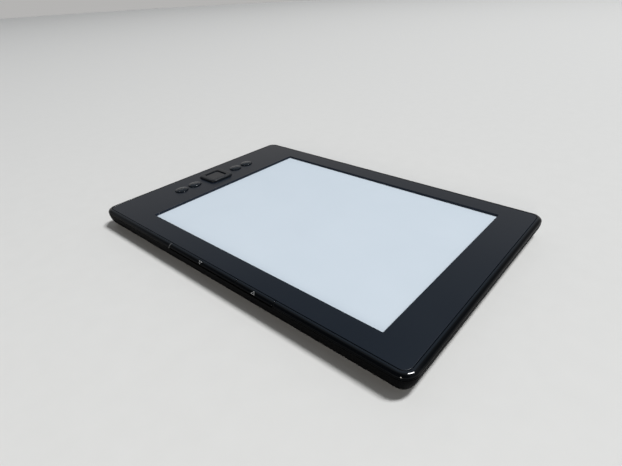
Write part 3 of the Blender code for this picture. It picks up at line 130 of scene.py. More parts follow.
class Finish(Shading):
    """A surface finish: one Principled shader and the nodes that feed it, in millimetres on the piece."""

    def __init__(self, name):
        self.material = bpy.data.materials.new(name)
        self.material.use_nodes = True
        super().__init__(self.material.node_tree)
        corner = self.node("ShaderNodeTexCoord", output="Object")
        sockets = {0: corner, "Scale": 1 / MM}
        self.place = self.node("ShaderNodeVectorMath", {"operation": "SCALE"}, sockets, "Vector")

    def axis(self, letter):
        """Place along one axis of the piece."""
        return self.node("ShaderNodeSeparateXYZ", sockets={"Vector": self.place}, output=letter)

    def grain(self, size, detail=2.0, stretch=(1.0, 1.0, 1.0)):
        """Noise whose patches are about size across, drawn out along an axis by stretch."""
        scale = tuple(1 / (size * pull) for pull in stretch)
        sockets = {0: self.place, 1: scale}
        where = self.node("ShaderNodeVectorMath", {"operation": "MULTIPLY"}, sockets, "Vector")
        return self.node("ShaderNodeTexNoise", sockets={"Vector": where, "Scale": 1.0, "Detail": detail})

    def cells(self, size, output="Distance"):
        """Uneven cells, each about size across."""
        sockets = {"Vector": self.place, "Scale": 1 / size}
        return self.node("ShaderNodeTexVoronoi", sockets=sockets, output=output)

    def relief(self, height, depth):
        """A bump of that depth in millimetres."""
        sockets = {"Height": height, "Strength": 1.0, "Distance": depth * MM}
        return self.node("ShaderNodeBump", sockets=sockets, output="Normal")

    def surface(self, **sockets):
        """Wires the shader; base_color stands for Base Color, and so on."""
        named = {key.replace("_", " ").title().replace("Ior", "IOR"): value for key, value in sockets.items()}
        self.feed(self.tree.nodes["Principled BSDF"], named)


def dress(finish, *nodes):
    """Gives CAD pieces a finish."""
    for node in nodes:
        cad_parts[node].data.materials[0] = finish.material


magnesium = Finish("cast_magnesium")
blotch = magnesium.grain(6.0, detail=3.0)
magnesium.surface(
    base_color=magnesium.blend(blotch, (0.26, 0.27, 0.28), (0.44, 0.45, 0.46)),
    metallic=0.8,
    roughness=0.4 + 0.25 * blotch,
    normal=magnesium.relief(magnesium.grain(0.15), depth=0.01),
)
dress(magnesium, "mid_frame")


# Screws: eight small cross-recess screws of zinc-plated steel, four through the frame into the rim and four
# through the board. Turned marks run round the heads.

steel = Finish("plated_steel")
turning = steel.grain(0.12, detail=3.0, stretch=(1.0, 1.0, 8.0))
steel.surface(
    base_color=steel.blend(turning, (0.42, 0.43, 0.46), (0.62, 0.63, 0.64)),
    metallic=1.0,
    roughness=0.22 + 0.25 * turning,
    normal=steel.relief(turning, depth=0.006),
)
SCREWS_EACH = 4
for kind in ("rim", "board"):
    dress(steel, *(f"{kind}_screw_{number}" for number in range(1, SCREWS_EACH + 1)))


# Boards: the main board, the battery's small board and two strips along the sides that carry the page
# switches. Glass-epoxy sheet with copper tracks etched both ways and a green lacquer over them.

TRACK_PITCH, TRACK_EDGE, TRACK_REGION, TRACK_SHARE = 0.9, 0.55, 5.0, 0.5
lacquer = Finish("green_lacquer")
region = lacquer.node("ShaderNodeSeparateColor", sockets={"Color": lacquer.cells(TRACK_REGION, "Color")})
lengthways = region > TRACK_SHARE
along = lacquer.axis("X").wave(TRACK_PITCH) > TRACK_EDGE
across = lacquer.axis("Y").wave(TRACK_PITCH) > TRACK_EDGE
track = along * lengthways + across * (1 - lengthways)
weave = lacquer.grain(0.3)
lacquer_tone = lacquer.blend(weave, (0.012, 0.075, 0.035), (0.02, 0.1, 0.045))
lacquer.surface(
    base_color=lacquer.blend(track, lacquer_tone, (0.05, 0.19, 0.075)),
    roughness=0.3 + 0.2 * weave,
    normal=lacquer.relief(track + 0.3 * weave, depth=0.02),
)
dress(lacquer, "main_board", "battery_board", "side_board_left", "side_board_right")


# Chips: processor, memory, storage, power and radio packages soldered under the board. Black epoxy with a
# fine glass filler, ground flat on top, so it is speckled and dull.

def speckled(name, dark, light, *, size, roughness, depth, **fixed):
    """A plain finish that wanders between two tones, with a skin to match. Fixed sockets are set as given."""
    coarser, wander = 12, 0.12
    skin = Finish(name)
    broad = skin.grain(size * coarser, detail=2.0)
    fine = skin.grain(size, detail=3.0)
    skin.surface(
        base_color=skin.blend(0.5 * broad + 0.5 * fine, dark, light),
        roughness=roughness + wander * (broad - 0.5) + wander * (fine - 0.5),
        normal=skin.relief(fine, depth),
        **fixed,
    )
    return skin


epoxy = speckled(
    "chip_epoxy", (0.012, 0.012, 0.013), (0.045, 0.045, 0.047), size=0.12, roughness=0.55, depth=0.008
)
dress(epoxy, "processor", "memory_chip", "storage_chip", "power_chip", "radio_module")


# Shield can: a tray of tinned steel sheet, pressed and soldered over the processor and memory. The rolling of
# the sheet leaves fine straight lines.

tinplate = Finish("tinned_sheet")
rolled = tinplate.grain(0.2, detail=3.0, stretch=(30.0, 1.0, 1.0))
tinplate.surface(
    base_color=tinplate.blend(rolled, (0.5, 0.5, 0.49), (0.7, 0.7, 0.69)),
    metallic=1.0,
    roughness=0.25 + 0.2 * rolled,
    normal=tinplate.relief(rolled, depth=0.004),
)
dress(tinplate, "shield_can")


# Plugs: the ribbon's socket and the battery's socket. Each is moulded from ivory nylon and soldered to the
# board by its pins.

nylon = speckled(
    "ivory_nylon", (0.62, 0.58, 0.47), (0.74, 0.7, 0.6), size=0.2, roughness=0.5, depth=0.006
)
dress(nylon, "display_connector", "battery_connector")


# Switches: four page switches on the side strips, and the power switch at the lower edge. Black moulded
# bodies, each with a hard plunger that its key presses.

switch_black = speckled(
    "switch_plastic", (0.012, 0.012, 0.012), (0.03, 0.03, 0.03), size=0.15, roughness=0.45, depth=0.006
)
dress(
    switch_black,
    *(f"{key}_key_switch_{hand}" for key in ("next", "prev") for hand in ("left", "right")),
    "power_switch",
)


# Dome sheet: a clear polyester film over small steel domes, one under each key and under each side of the
# ring. The film is stuck down round every dome.

dome_film = speckled(
    "dome_film",
    (0.42, 0.44, 0.45),
    (0.62, 0.63, 0.62),
    size=0.4,
    roughness=0.3,
    depth=0.01,
    metallic=0.35,
    coat_weight=0.4,
)
dress(dome_film, "dome_sheet")


# Battery: a flat lithium cell in a heat-sealed foil pouch that wrinkles slightly, on a strip of sticky foam,
# with its two leads in red and black rubbery insulation.

foil = Finish("pouch_foil")
wrinkle = foil.grain(7.0, detail=4.0, stretch=(1.0, 0.5, 1.0))
foil_grain = foil.grain(0.25, detail=2.0)
foil.surface(
    base_color=foil.blend(foil_grain, (0.52, 0.53, 0.54), (0.68, 0.69, 0.7)),
    metallic=0.9,
    roughness=0.3 + 0.2 * wrinkle,
    normal=foil.relief(wrinkle + 0.05 * foil_grain, depth=0.25),
)
dress(foil, "battery_cell")
sticky_foam = speckled(
    "sticky_foam", (0.05, 0.05, 0.055), (0.13, 0.13, 0.135), size=0.4, roughness=0.85, depth=0.08
)
dress(sticky_foam, "battery_pad")
red_lead = speckled(
    "red_lead", (0.36, 0.015, 0.012), (0.5, 0.03, 0.022), size=0.3, roughness=0.45, depth=0.01
)
dress(red_lead, "battery_wire_red")
black_lead = speckled(
    "black_lead", (0.01, 0.01, 0.01), (0.03, 0.03, 0.03), size=0.3, roughness=0.45, depth=0.01
)
dress(black_lead, "battery_wire_black", "antenna_cable")


# Aerial: a strip of film with a folded copper track, stuck inside the end away from the keys. A thin cable
# feeds it, in the same black insulation as the battery's lead.

FOLD_PITCH, FOLD_EDGE = 3.0, -0.1
aerial = Finish("copper_track")
fold = aerial.axis("X").wave(FOLD_PITCH) > FOLD_EDGE
tarnish = aerial.grain(1.5, detail=3.0)
copper_tone = aerial.blend(tarnish, (0.55, 0.24, 0.11), (0.75, 0.4, 0.22))
aerial.surface(
    base_color=aerial.blend(fold, (0.16, 0.08, 0.02), copper_tone),
    metallic=0.9 * fold,
    roughness=0.3 + 0.25 * tarnish,
    normal=aerial.relief(fold, depth=0.03),
)
dress(aerial, "wifi_antenna")


# Display stack under the sheet: grey driver glass with fine lines to every row, a frame of black foam that
# seals it to the face plate, and an amber ribbon with its tracks side by side.

ROW_PITCH, ROW_EDGE = 0.4, 0.6
driver_glass = Finish("driver_glass")
rows = driver_glass.axis("Y").wave(ROW_PITCH) > ROW_EDGE
haze = driver_glass.grain(3.0)
driver_glass.surface(
    base_color=driver_glass.blend(0.6 * rows + 0.2 * haze, (0.16, 0.18, 0.18), (0.32, 0.34, 0.34)),
    roughness=0.06 + 0.1 * haze,
    normal=driver_glass.relief(rows, depth=0.004),
)
dress(driver_glass, "tft_glass")
seal_foam = speckled(
    "seal_foam", (0.012, 0.012, 0.013), (0.05, 0.05, 0.052), size=0.25, roughness=0.9, depth=0.06
)
dress(seal_foam, "display_gasket")

LINE_PITCH, LINE_EDGE = 0.5, 0.2
ribbon = Finish("amber_ribbon")
lines = ribbon.axis("X").wave(LINE_PITCH) > LINE_EDGE
stain = ribbon.grain(2.0)
amber = ribbon.blend(stain, (0.3, 0.13, 0.02), (0.4, 0.18, 0.03))
ribbon.surface(
    base_color=ribbon.blend(lines, amber, (0.55, 0.3, 0.08)),
    roughness=0.25 + 0.15 * stain,
    normal=ribbon.relief(lines, depth=0.015),
)
dress(ribbon, "display_flex")


# Reading sheet: the pale matt sheet of the display, seen through the window of the face plate. Tiny capsules
# give it a paper-like mottle of blue-grey, and it lies flat on its driver glass.

paper = Finish("reading_sheet")
capsule = paper.grain(0.09, detail=2.0)
cloud = paper.grain(22.0, detail=2.0)
mottle = 0.55 * capsule + 0.45 * cloud
paper.surface(
    base_color=paper.blend(mottle, (0.575, 0.645, 0.715), (0.655, 0.72, 0.79)),
    roughness=0.62 + 0.16 * capsule,
    specular_ior_level=0.3,
    normal=paper.relief(capsule, depth=0.003),
)
dress(paper, "epaper_film")


# Rim: one rounded moulding round the face plate, in black plastic polished by its mould to a satin gloss. Its
# skirt snaps inside the rear shell, and it is cut away on both sides for the page keys.

def extent(node):
    """Lowest and highest corner of a CAD piece, in millimetres."""
    low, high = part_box(node)
    return low / MM, high / MM


rim_low, rim_high = extent("rim_frame")
HALF_WIDTH, HALF_LENGTH, FACE = rim_high
CORNER_RADIUS, RIM_CORNER, LEAST_RADIUS, CORNER_STEPS = 5.2, 3.0, 0.2, 14
BEVEL_WIDTH, BEVEL_HEIGHT, BEVEL_STEPS = 2.0, 1.4, 14
WIDEST = FACE - BEVEL_HEIGHT
PAGE_KEY_GAP = 0.25
KEYS_START = extent("next_key_right")[0].y - PAGE_KEY_GAP
KEYS_END = extent("prev_key_right")[1].y + PAGE_KEY_GAP
OVERRUN = 1.0
SHARP = math.radians(40)


def outline(half_x, half_y, radius, centre=(0.0, 0.0), steps=CORNER_STEPS):
    """Points round a rectangle with round corners, anticlockwise."""
    points = []
    for quarter, (side_x, side_y) in enumerate(((1, 1), (-1, 1), (-1, -1), (1, -1))):
        middle = (centre[0] + side_x * (half_x - radius), centre[1] + side_y * (half_y - radius))
        for step in range(steps + 1):
            angle = math.pi / 2 * (quarter + step / steps)
            points.append((middle[0] + radius * math.cos(angle), middle[1] + radius * math.sin(angle)))
    return points


def lifted(points, z):
    """A drawing in X and Y, lifted to a height."""
    return [(x, y, z) for x, y in points]


def round_reader(setback, z, radius=None):
    """The reader's own outline, set back and lifted. Its corners follow the side unless a radius is given."""
    if radius is None:
        radius = max(CORNER_RADIUS - setback, LEAST_RADIUS)
    return lifted(outline(HALF_WIDTH - setback, HALF_LENGTH - setback, radius), z)


def bevel_corner(setback):
    """Corner radius on the rim's bevel, which sharpens from the widest line to the inner edge."""
    return CORNER_RADIUS - (CORNER_RADIUS - RIM_CORNER) * setback / BEVEL_WIDTH


def eased(corners, steps=4):
    """A section through corners given as (setback, height, radius), with each radius rounded off."""
    section = []
    for i, (setback, z, radius) in enumerate(corners):
        corner = Vector((setback, z))
        if not radius:
            section.append((setback, z))
            continue
        before = Vector(corners[i - 1][:2]) - corner
        after = Vector(corners[(i + 1) % len(corners)][:2]) - corner
        start = corner + before.normalized() * min(radius, before.length / 2)
        end = corner + after.normalized() * min(radius, after.length / 2)
        for step in range(steps + 1):
            t = step / steps
            section.append(tuple(start * (1 - t) ** 2 + corner * (2 * t * (1 - t)) + end * t * t))
    return section


def join(shape, rings, closed):
    """Faces from ring to ring of a shape's corners, capped at the ends or joined end to end."""
    pairs = list(zip(rings, rings[1:]))
    if closed:
        pairs.append((rings[-1], rings[0]))
    else:
        shape.faces.new(rings[0])
        shape.faces.new(rings[-1])
    for first, second in pairs:
        for i, corner in enumerate(first):
            j = (i + 1) % len(first)
            shape.faces.new((corner, first[j], second[j], second[i]))


def skinned(loops, closed=False):
    """One skin through loops of equal count, in millimetres, capped at its ends or joined end to end."""
    shape = bmesh.new()
    rings = [[shape.verts.new(Vector(point) * MM) for point in loop] for loop in loops]
    join(shape, rings, closed)
    bmesh.ops.recalc_face_normals(shape, faces=shape.faces[:])
    return shape


def bar(points, low, high):
    """A straight bar between two heights."""
    return skinned([lifted(points, low), lifted(points, high)])


def box(x, y, z):
    """A box between a pair of places on each axis."""
    return bar([(x[0], y[0]), (x[1], y[0]), (x[1], y[1]), (x[0], y[1])], *z)


def as_object(name, shape):
    """A shape as a new object in the scene."""
    data = bpy.data.meshes.new(name)
    shape.to_mesh(data)
    shape.free()
    made = bpy.data.objects.new(name, data)
    bpy.context.scene.collection.objects.link(made)
    return made


def cut_from(piece, shapes):
    """Takes shapes out of a piece and keeps the result as its mesh."""
    tools = [as_object("tool", shape) for shape in shapes]
    for tool in tools:
        cutter = piece.modifiers.new("cut", "BOOLEAN")
        cutter.solver = "EXACT"
        cutter.object = tool
    cut = bpy.data.meshes.new_from_object(piece.evaluated_get(bpy.context.evaluated_depsgraph_get()))
    piece.modifiers.clear()
    piece.data = cut
    for tool in tools:
        bpy.data.objects.remove(tool)


def fitted(piece, finish, body, slot, *nodes):
    """Smooths a piece, gives it its finish, and puts it on its body in place of its CAD nodes."""
    piece.data.shade_smooth()
    piece.data.set_sharp_from_angle(angle=SHARP)
    even = piece.modifiers.new("flat faces stay flat", "WEIGHTED_NORMAL")
    even.keep_sharp = True
    piece.data.materials.clear()
    piece.data.materials.append(finish.material)
    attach(piece, body)
    if nodes:
        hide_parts(*nodes)
    return piece


def bevel_line(lowest, drop=0.0):
    """Setback and height down the rim's rounded bevel, or that far under it, to a height."""
    last = math.acos((lowest - WIDEST) / BEVEL_HEIGHT)
    line = []
    for step in range(BEVEL_STEPS + 1):
        angle = last * step / BEVEL_STEPS
        wide, high = BEVEL_WIDTH - drop, BEVEL_HEIGHT - drop
        line.append((BEVEL_WIDTH - wide * math.sin(angle), WIDEST + high * math.cos(angle)))
    return line


LIP_HEIGHT, LIP_WIDTH = 0.25, 1.45
PARTING = WIDEST - LIP_HEIGHT
SKIRT_FOOT, SKIRT_OUTER, SKIRT_INNER = rim_low.z, 2.09, 2.59
LEDGE_TOP, LEDGE_UNDER, LEDGE_INNER = 7.55, 6.8, 3.4
CREST_ROUND, LIP_ROUND, POCKET_ROUND = 0.12, 0.1, 0.16
POCKET_DEPTH, POCKET_FLOOR = 3.7, 5.7
INLET_X, BUTTON_X, LIGHT_X = 0.0, 15.0, -9.0
EDGE_WAYS = ((INLET_X, 4.05), (BUTTON_X, 4.3), (LIGHT_X, 1.4))
WAY_DEPTH, WAY_TOP = 3.6, 6.1

rim_bevel = bevel_line(WIDEST)
rim_top = eased(
    [
        (BEVEL_WIDTH, LEDGE_TOP, 0.0),
        (BEVEL_WIDTH, FACE, CREST_ROUND),
        *((setback, z, 0.0) for setback, z in rim_bevel[1:]),
    ]
)
rim_under = eased(
    [
        rim_bevel[-1] + (0.0,),
        (0.0, PARTING, LIP_ROUND),
        (LIP_WIDTH, PARTING, 0.0),
        (SKIRT_OUTER, SKIRT_FOOT, 0.0),
        (SKIRT_INNER, SKIRT_FOOT, 0.0),
        (SKIRT_INNER, LEDGE_UNDER, 0.0),
        (LEDGE_INNER, LEDGE_UNDER, 0.0),
        (LEDGE_INNER, LEDGE_TOP, 0.0),
    ]
)
rim_loops = [round_reader(setback, z, bevel_corner(setback)) for setback, z in rim_top]
rim_loops += [round_reader(*point) for point in rim_under[1:]]
rim = as_object("rim_moulding", skinned(rim_loops, closed=True))
side_pockets = [
    box(
        sorted((way * (HALF_WIDTH + OVERRUN), way * (HALF_WIDTH - POCKET_DEPTH))),
        (KEYS_START, KEYS_END),
        (POCKET_FLOOR, FACE + OVERRUN),
    )
    for way in (1, -1)
]
lower_edge_ways = [
    box(
        (x - half, x + half),
        (-HALF_LENGTH - OVERRUN, -HALF_LENGTH + WAY_DEPTH),
        (SKIRT_FOOT - OVERRUN, WAY_TOP),
    )
    for x, half in EDGE_WAYS
]
cut_from(rim, [*side_pockets, *lower_edge_ways])


def ease_pocket_ends(piece, size):
    """Rounds the edges where the rim's outer skin meets the ends of the side pockets."""
    shape = bmesh.new()
    shape.from_mesh(piece.data)
    near = 0.01
    edges = []
    for edge in shape.edges:
        ends = [corner.co / MM for corner in edge.verts]
        at_pocket = any(all(abs(end.y - y) < near for end in ends) for y in (KEYS_START, KEYS_END))
        on_skin = all(end.z > WIDEST - near and abs(end.x) > HALF_WIDTH - BEVEL_WIDTH - near for end in ends)
        if at_pocket and on_skin:
            edges.append(edge)
    bmesh.ops.bevel(shape, geom=edges, offset=size * MM, segments=3, profile=0.5, affect="EDGES")
    shape.to_mesh(piece.data)
    shape.free()


ease_pocket_ends(rim, POCKET_ROUND)

# Each band gives where a change in the finish begins and where it is full, as distances from an edge.
CREST_HIGHLIGHT_BAND, CREST_GLOSS_BAND = (0.14, 0.01), (0.35, 0.08)
BEVEL_GLOSS_BAND, CORNER_BAND = (1.1, 0.75), (9.0, 4.0)
HAND_HEIGHT_BAND, HAND_SIDE_BAND = (0.95, 0.6), (1.5, 0.9)
END_HIGHLIGHT_BAND = (0.06, 0.2)


def up_to(value, edge, band):
    """A smooth rise toward an edge, over a band short of it."""
    return value.ramp(edge - band[0], edge - band[1])


satin = Finish("satin_black")
touch = satin.grain(14.0, detail=3.0)
mist = satin.grain(0.35, detail=2.0)
out_x = abs(satin.axis("X"))
out_y = abs(satin.axis("Y"))
height = satin.axis("Z")
# Painted highlight: the base colour lightens along the crest, a thin light line outside the groove.
crest = up_to(height, FACE, CREST_HIGHLIGHT_BAND)
# Painted highlight: a pale line across the bevel at the pocket ends nearer the lower edge.
end_highlight = 1 - abs(satin.axis("Y") - KEYS_START).ramp(*END_HIGHLIGHT_BAND)
# The gloss is strongest along the crest, at the corners, and where hands rub the long sides.
crest_gloss = 0.4 * up_to(height, FACE, CREST_GLOSS_BAND)
at_corner = up_to(out_x, HALF_WIDTH, CORNER_BAND) * up_to(out_y, HALF_LENGTH, CORNER_BAND)
bevel_gloss = up_to(height, FACE, BEVEL_GLOSS_BAND) * (0.2 + 0.4 * at_corner)
long_side = up_to(out_x, HALF_WIDTH, HAND_SIDE_BAND) * up_to(height, FACE, HAND_HEIGHT_BAND)
hand_gloss = 0.6 * long_side * (1 - at_corner)
dark_rim = satin.blend(touch, (0.0009, 0.0012, 0.0017), (0.002, 0.0025, 0.0034))
rim_tone_with_highlight = satin.blend(0.8 * crest, dark_rim, (0.012, 0.0165, 0.0235))
satin.surface(
    base_color=satin.blend(0.7 * end_highlight, rim_tone_with_highlight, (0.16, 0.16, 0.165)),
    roughness=0.1 + 0.05 * touch + 0.04 * mist,
    specular_ior_level=0.02,
    coat_weight=crest_gloss + bevel_gloss + hand_gloss,
    coat_roughness=0.05,
    normal=satin.relief(mist, depth=0.0012),
)
fitted(rim, satin, "chassis", "rim", "rim_frame")


# Face plate: a flat plate of black plastic with a soft matt paint, glued on the rim's ledge with a fine
# groove all round. The window is cut through it with a slight draft, and the keys come up through holes with
# eased edges.

plate_low, plate_high = extent("front_bezel")
film_low, film_high = extent("epaper_film")
PLATE_UNDER, PLATE_EDGE = plate_low.z, HALF_WIDTH - plate_high.x
FILM_MARGIN, WINDOW_CORNER = 1.6, 0.4
WINDOW_X, WINDOW_Y = film_high.x - FILM_MARGIN, (film_high.y - film_low.y) / 2 - FILM_MARGIN
WINDOW_MIDDLE = (film_low.y + film_high.y) / 2
ring_low, ring_high = extent("rocker_ring")
KEY_ROW = (ring_low.y + ring_high.y) / 2
KEY_PLACES = {}
for node in ("back_key", "keyboard_key", "menu_key", "home_key"):
    key_low, key_high = extent(node)
    KEY_PLACES[node] = (key_low.x + key_high.x) / 2
KEY_HALF_X, KEY_HALF_Y, KEY_GAP, KEY_POINTS = 3.25, 2.8, 0.25, 48
RING_FLANGE, RING_CORNER = 0.6, 2.8
RING_X, RING_Y = ring_high.x - RING_FLANGE, (ring_high.y - ring_low.y) / 2 - RING_FLANGE


def oval(half_x, half_y, centre, count=KEY_POINTS):
    """Points round an oval, anticlockwise."""
    angles = [2 * math.pi / count * i for i in range(count)]
    return [(centre[0] + half_x * math.cos(a), centre[1] + half_y * math.sin(a)) for a in angles]


def flared(points_at):
    """A cutter through the plate that leaves a small chamfer at the face. points_at(grow) is its outline."""
    chamfer = 0.12
    steps = ((0.0, PLATE_UNDER - OVERRUN), (0.0, FACE - chamfer), (2 * chamfer, FACE + chamfer))
    return skinned([lifted(points_at(grow), z) for grow, z in steps])


def window(grow, z):
    """The window's outline, grown and lifted."""
    centre = (0.0, WINDOW_MIDDLE)
    return lifted(outline(WINDOW_X + grow, WINDOW_Y + grow, WINDOW_CORNER + max(grow, 0.0), centre), z)


PLATE_ROUND, MOUTH_ROUND, WINDOW_DRAFT = 0.12, 0.05, 0.2
# A section runs on along a flat for this far, only so that the corner beside it can be eased.
FLAT_RUN = 20.0
edge_round = eased([(PLATE_EDGE, PLATE_UNDER, 0.0), (PLATE_EDGE, FACE, PLATE_ROUND), (FLAT_RUN, FACE, 0.0)])
mouth_round = eased([(-FLAT_RUN, FACE, 0.0), (0.0, FACE, MOUTH_ROUND), (0.0, PLATE_UNDER, 0.0)])
plate_loops = [round_reader(setback, z, RIM_CORNER + BEVEL_WIDTH - setback) for setback, z in edge_round[:-1]]
plate_loops += [window(-inset, z) for inset, z in mouth_round[1:-1]]
plate_loops.append(window(-WINDOW_DRAFT, PLATE_UNDER))
plate = as_object("face_plate", skinned(plate_loops, closed=True))
key_holes = [
    flared(lambda grow, x=x: oval(KEY_HALF_X + KEY_GAP + grow, KEY_HALF_Y + KEY_GAP + grow, (x, KEY_ROW)))
    for x in KEY_PLACES.values()
]


def ring_outline(grow):
    return outline(RING_X + grow, RING_Y + grow, RING_CORNER + grow, (0.0, KEY_ROW))


cut_from(plate, [*key_holes, flared(lambda grow: ring_outline(KEY_GAP + grow))])

RUBBED_HIGHLIGHT_BAND = (0.05, 0.3)
matt = Finish("matt_face_paint")
paint = matt.grain(0.16, detail=3.0)
smear = matt.grain(30.0, detail=3.0)
from_window = (abs(matt.axis("X")) - WINDOW_X).most(abs(matt.axis("Y") - WINDOW_MIDDLE) - WINDOW_Y)
# Round the window the paint is rubbed smoother and a little lighter: partly wear, partly a painted highlight
# on its edge.
rubbed_and_highlight = 1 - abs(from_window).ramp(*RUBBED_HIGHLIGHT_BAND)
painted = matt.blend(0.6 * paint + 0.4 * smear, (0.0014, 0.0052, 0.0118), (0.0034, 0.0086, 0.0172))
matt.surface(
    base_color=matt.blend(0.06 * rubbed_and_highlight, painted, (0.06, 0.065, 0.075)),
    roughness=0.23 + 0.06 * smear + 0.08 * paint - 0.04 * rubbed_and_highlight,
    specular_ior_level=0.5,
    normal=matt.relief(paint, depth=0.003),
)
fitted(plate, matt, "chassis", "face_plate", "front_bezel")
recess_shade_finish = speckled(
    "recess_shade_edge",
    (0.013, 0.018, 0.029),
    (0.02, 0.026, 0.039),
    size=0.3,
    roughness=0.5,
    depth=0.004,
    specular_ior_level=0.1,
)
plate.data.materials.append(recess_shade_finish.material)
# Painted shade: the sides of the plate, its window and its holes get a low-gloss tone for the window's shade.
STEEP = 0.5
for face in plate.data.polygons:
    if abs(face.normal.z) < STEEP:
        face.material_index = 1


# Page keys: two bars on each side that carry the rim's bevel on, the longer for the next page and the shorter
# for the one before. Black plastic like the rim, hinged inside, each printed with the outline of a small
# triangle.

KEY_EDGE, KEY_BACK, KEY_HEEL = 7.5, 1.5, 6.65
KEY_CREST_ROUND, KEY_FOOT_ROUND = 0.1, 0.06
END_RADIUS, END_STEPS = 0.18, 3
END_ANGLES = [math.pi / 2 * step / END_STEPS for step in range(END_STEPS + 1)]
END_ROUND = [(END_RADIUS * (1 - math.sin(a)), END_RADIUS * (1 - math.cos(a))) for a in END_ANGLES]


def page_key_section(drop):
    """The key's section, or one that far inside it."""
    line = bevel_line(KEY_EDGE, drop)
    corners = [(setback, z, 0.0) for setback, z in line]
    corners[0] = (BEVEL_WIDTH, FACE - drop, KEY_CREST_ROUND)
    corners[-1] = (*line[-1], KEY_FOOT_ROUND)
    under = [(KEY_BACK, KEY_EDGE, 0.0), (KEY_BACK, KEY_HEEL, 0.0), (BEVEL_WIDTH, KEY_HEEL, 0.0)]
    return eased(corners + under)


def page_key(name, way, span):
    """A page key's bar along its span, with round ends."""
    loops = [(span[0] + inset, drop) for drop, inset in END_ROUND]
    loops += [(span[1] - inset, drop) for drop, inset in END_ROUND[::-1]]
    return as_object(
        name,
        skinned([[(way * (HALF_WIDTH - s), y, z) for s, z in page_key_section(drop)] for y, drop in loops]),
    )


def ribboned(points, width, closed=True):
    """The two sides of a printed line that follows points on a flat drawing, mitred at its corners."""
    least_mitre = 0.35
    sides = []
    count = len(points)
    for i, point in enumerate(points):
        here = Vector(point)
        before = (here - Vector(points[i - 1])).normalized() if closed or i else None
        after = (Vector(points[(i + 1) % count]) - here).normalized() if closed or i < count - 1 else None
        first = before if before is not None else after
        second = after if after is not None else before
        normal = (Vector((-first.y, first.x)) + Vector((-second.y, second.x))).normalized()
        reach = width / 2 / max(normal.dot(Vector((-first.y, first.x))), least_mitre)
        sides.append((here + normal * reach, here - normal * reach))
    return sides


def printed(name, lines, onto, width, finish, body):
    """Ink lines laid on a surface: onto(u, v, lift) gives a point over the drawing, in millimetres."""
    pieces, ink, root = 6, 0.012, -0.03
    shape = bmesh.new()
    for points, closed in lines:
        sides = ribboned(points, width, closed)
        ends = list(zip(sides, sides[1:] + sides[:1])) if closed else list(zip(sides, sides[1:]))
        stations = []
        for (left, right), (next_left, next_right) in ends:
            for step in range(pieces):
                t = step / pieces
                stations.append((left.lerp(next_left, t), right.lerp(next_right, t)))
        if not closed:
            stations.append(sides[-1])
        rings = [
            [
                shape.verts.new(Vector(onto(*place, lift)) * MM)
                for place, lift in ((left, ink), (right, ink), (right, root), (left, root))
            ]
            for left, right in stations
        ]
        join(shape, rings, closed)
    bmesh.ops.recalc_face_normals(shape, faces=shape.faces[:])
    return fitted(as_object(name, shape), finish, body, "key")


SIGN_ANGLE, BEVEL_REACH = math.radians(47), 1.7


def on_bevel(way, middle):
    """Lays a drawing on a page key: u along the key, v outwards from the middle of the bevel."""
    def place(u, v, lift):
        angle = SIGN_ANGLE + v / BEVEL_REACH
        setback = BEVEL_WIDTH - (BEVEL_WIDTH + lift) * math.sin(angle)
        return (way * (HALF_WIDTH - setback), middle + u, WIDEST + (BEVEL_HEIGHT + lift) * math.cos(angle))
    return place


white_ink = Finish("white_print")
fade = white_ink.grain(0.12, detail=3.0)
white_ink.surface(
    base_color=white_ink.blend(fade, (0.36, 0.365, 0.37), (0.6, 0.605, 0.61)),
    roughness=0.45 + 0.2 * fade,
    normal=white_ink.relief(fade, depth=0.003),
)

SIGN_HALF, SIGN_DEPTH, SIGN_LINE = 0.8, 1.08, 0.1
for way, hand in ((1, "right"), (-1, "left")):
    for kind, points_out in (("next", 1), ("prev", -1)):
        node = f"{kind}_key_{hand}"
        key_low, key_high = extent(node)
        span = (key_low.y, key_high.y)
        fitted(page_key(f"{node}_bar", way, span), satin, node, "key", node)
        tip = points_out * SIGN_DEPTH / 2
        triangle = [(-SIGN_HALF, -tip), (SIGN_HALF, -tip), (0.0, tip)]
        middle = sum(span) / 2
        printed(f"{node}_sign", [(triangle, True)], on_bevel(way, middle), SIGN_LINE, white_ink, node)


# Oval keys: four small crowned keys below the window, black with a faint grey sign each for going back, the
# letter board, the menu and the start page. Each is one moulding with a flange under the plate.

OVAL_WALL, CROWN_RISE, CROWN_ROUND, CROWN_STEPS = 0.5, 0.4, 0.2, 10
CROWN_EDGE = FACE + OVAL_WALL
FLANGE_RADIUS, FLANGE_TOP, FLANGE_UNDER = 3.85, 7.6, 6.9
KEY_SIGN_LINE = 0.2


def oval_key(name, x):
    """An oval key from its flange up. The section of its side is in shares of the way in, and heights."""
    steps = [(FLANGE_RADIUS, FLANGE_RADIUS, FLANGE_UNDER), (FLANGE_RADIUS, FLANGE_RADIUS, FLANGE_TOP)]
    side = [(0.0, FLANGE_TOP, 0.0), (0.0, CROWN_EDGE, CROWN_ROUND)]
    for step in range(1, CROWN_STEPS):
        share = step / CROWN_STEPS
        side.append((share, CROWN_EDGE + CROWN_RISE * (1 - (1 - share) ** 2), 0.0))
    steps += [(KEY_HALF_X * (1 - share), KEY_HALF_Y * (1 - share), z) for share, z in eased(side)]
    return as_object(name, skinned([lifted(oval(wide, long, (x, KEY_ROW)), z) for wide, long, z in steps]))


def on_crown(x):
    """Lays a drawing on an oval key's crown."""
    def place(u, v, lift):
        fall = (u / KEY_HALF_X) ** 2 + (v / KEY_HALF_Y) ** 2
        return (x + u, KEY_ROW + v, CROWN_EDGE + CROWN_RISE * (1 - fall) + lift)
    return place


def dash(u, v, half):
    """A short line along u."""
    return ([(u - half, v), (u + half, v)], False)


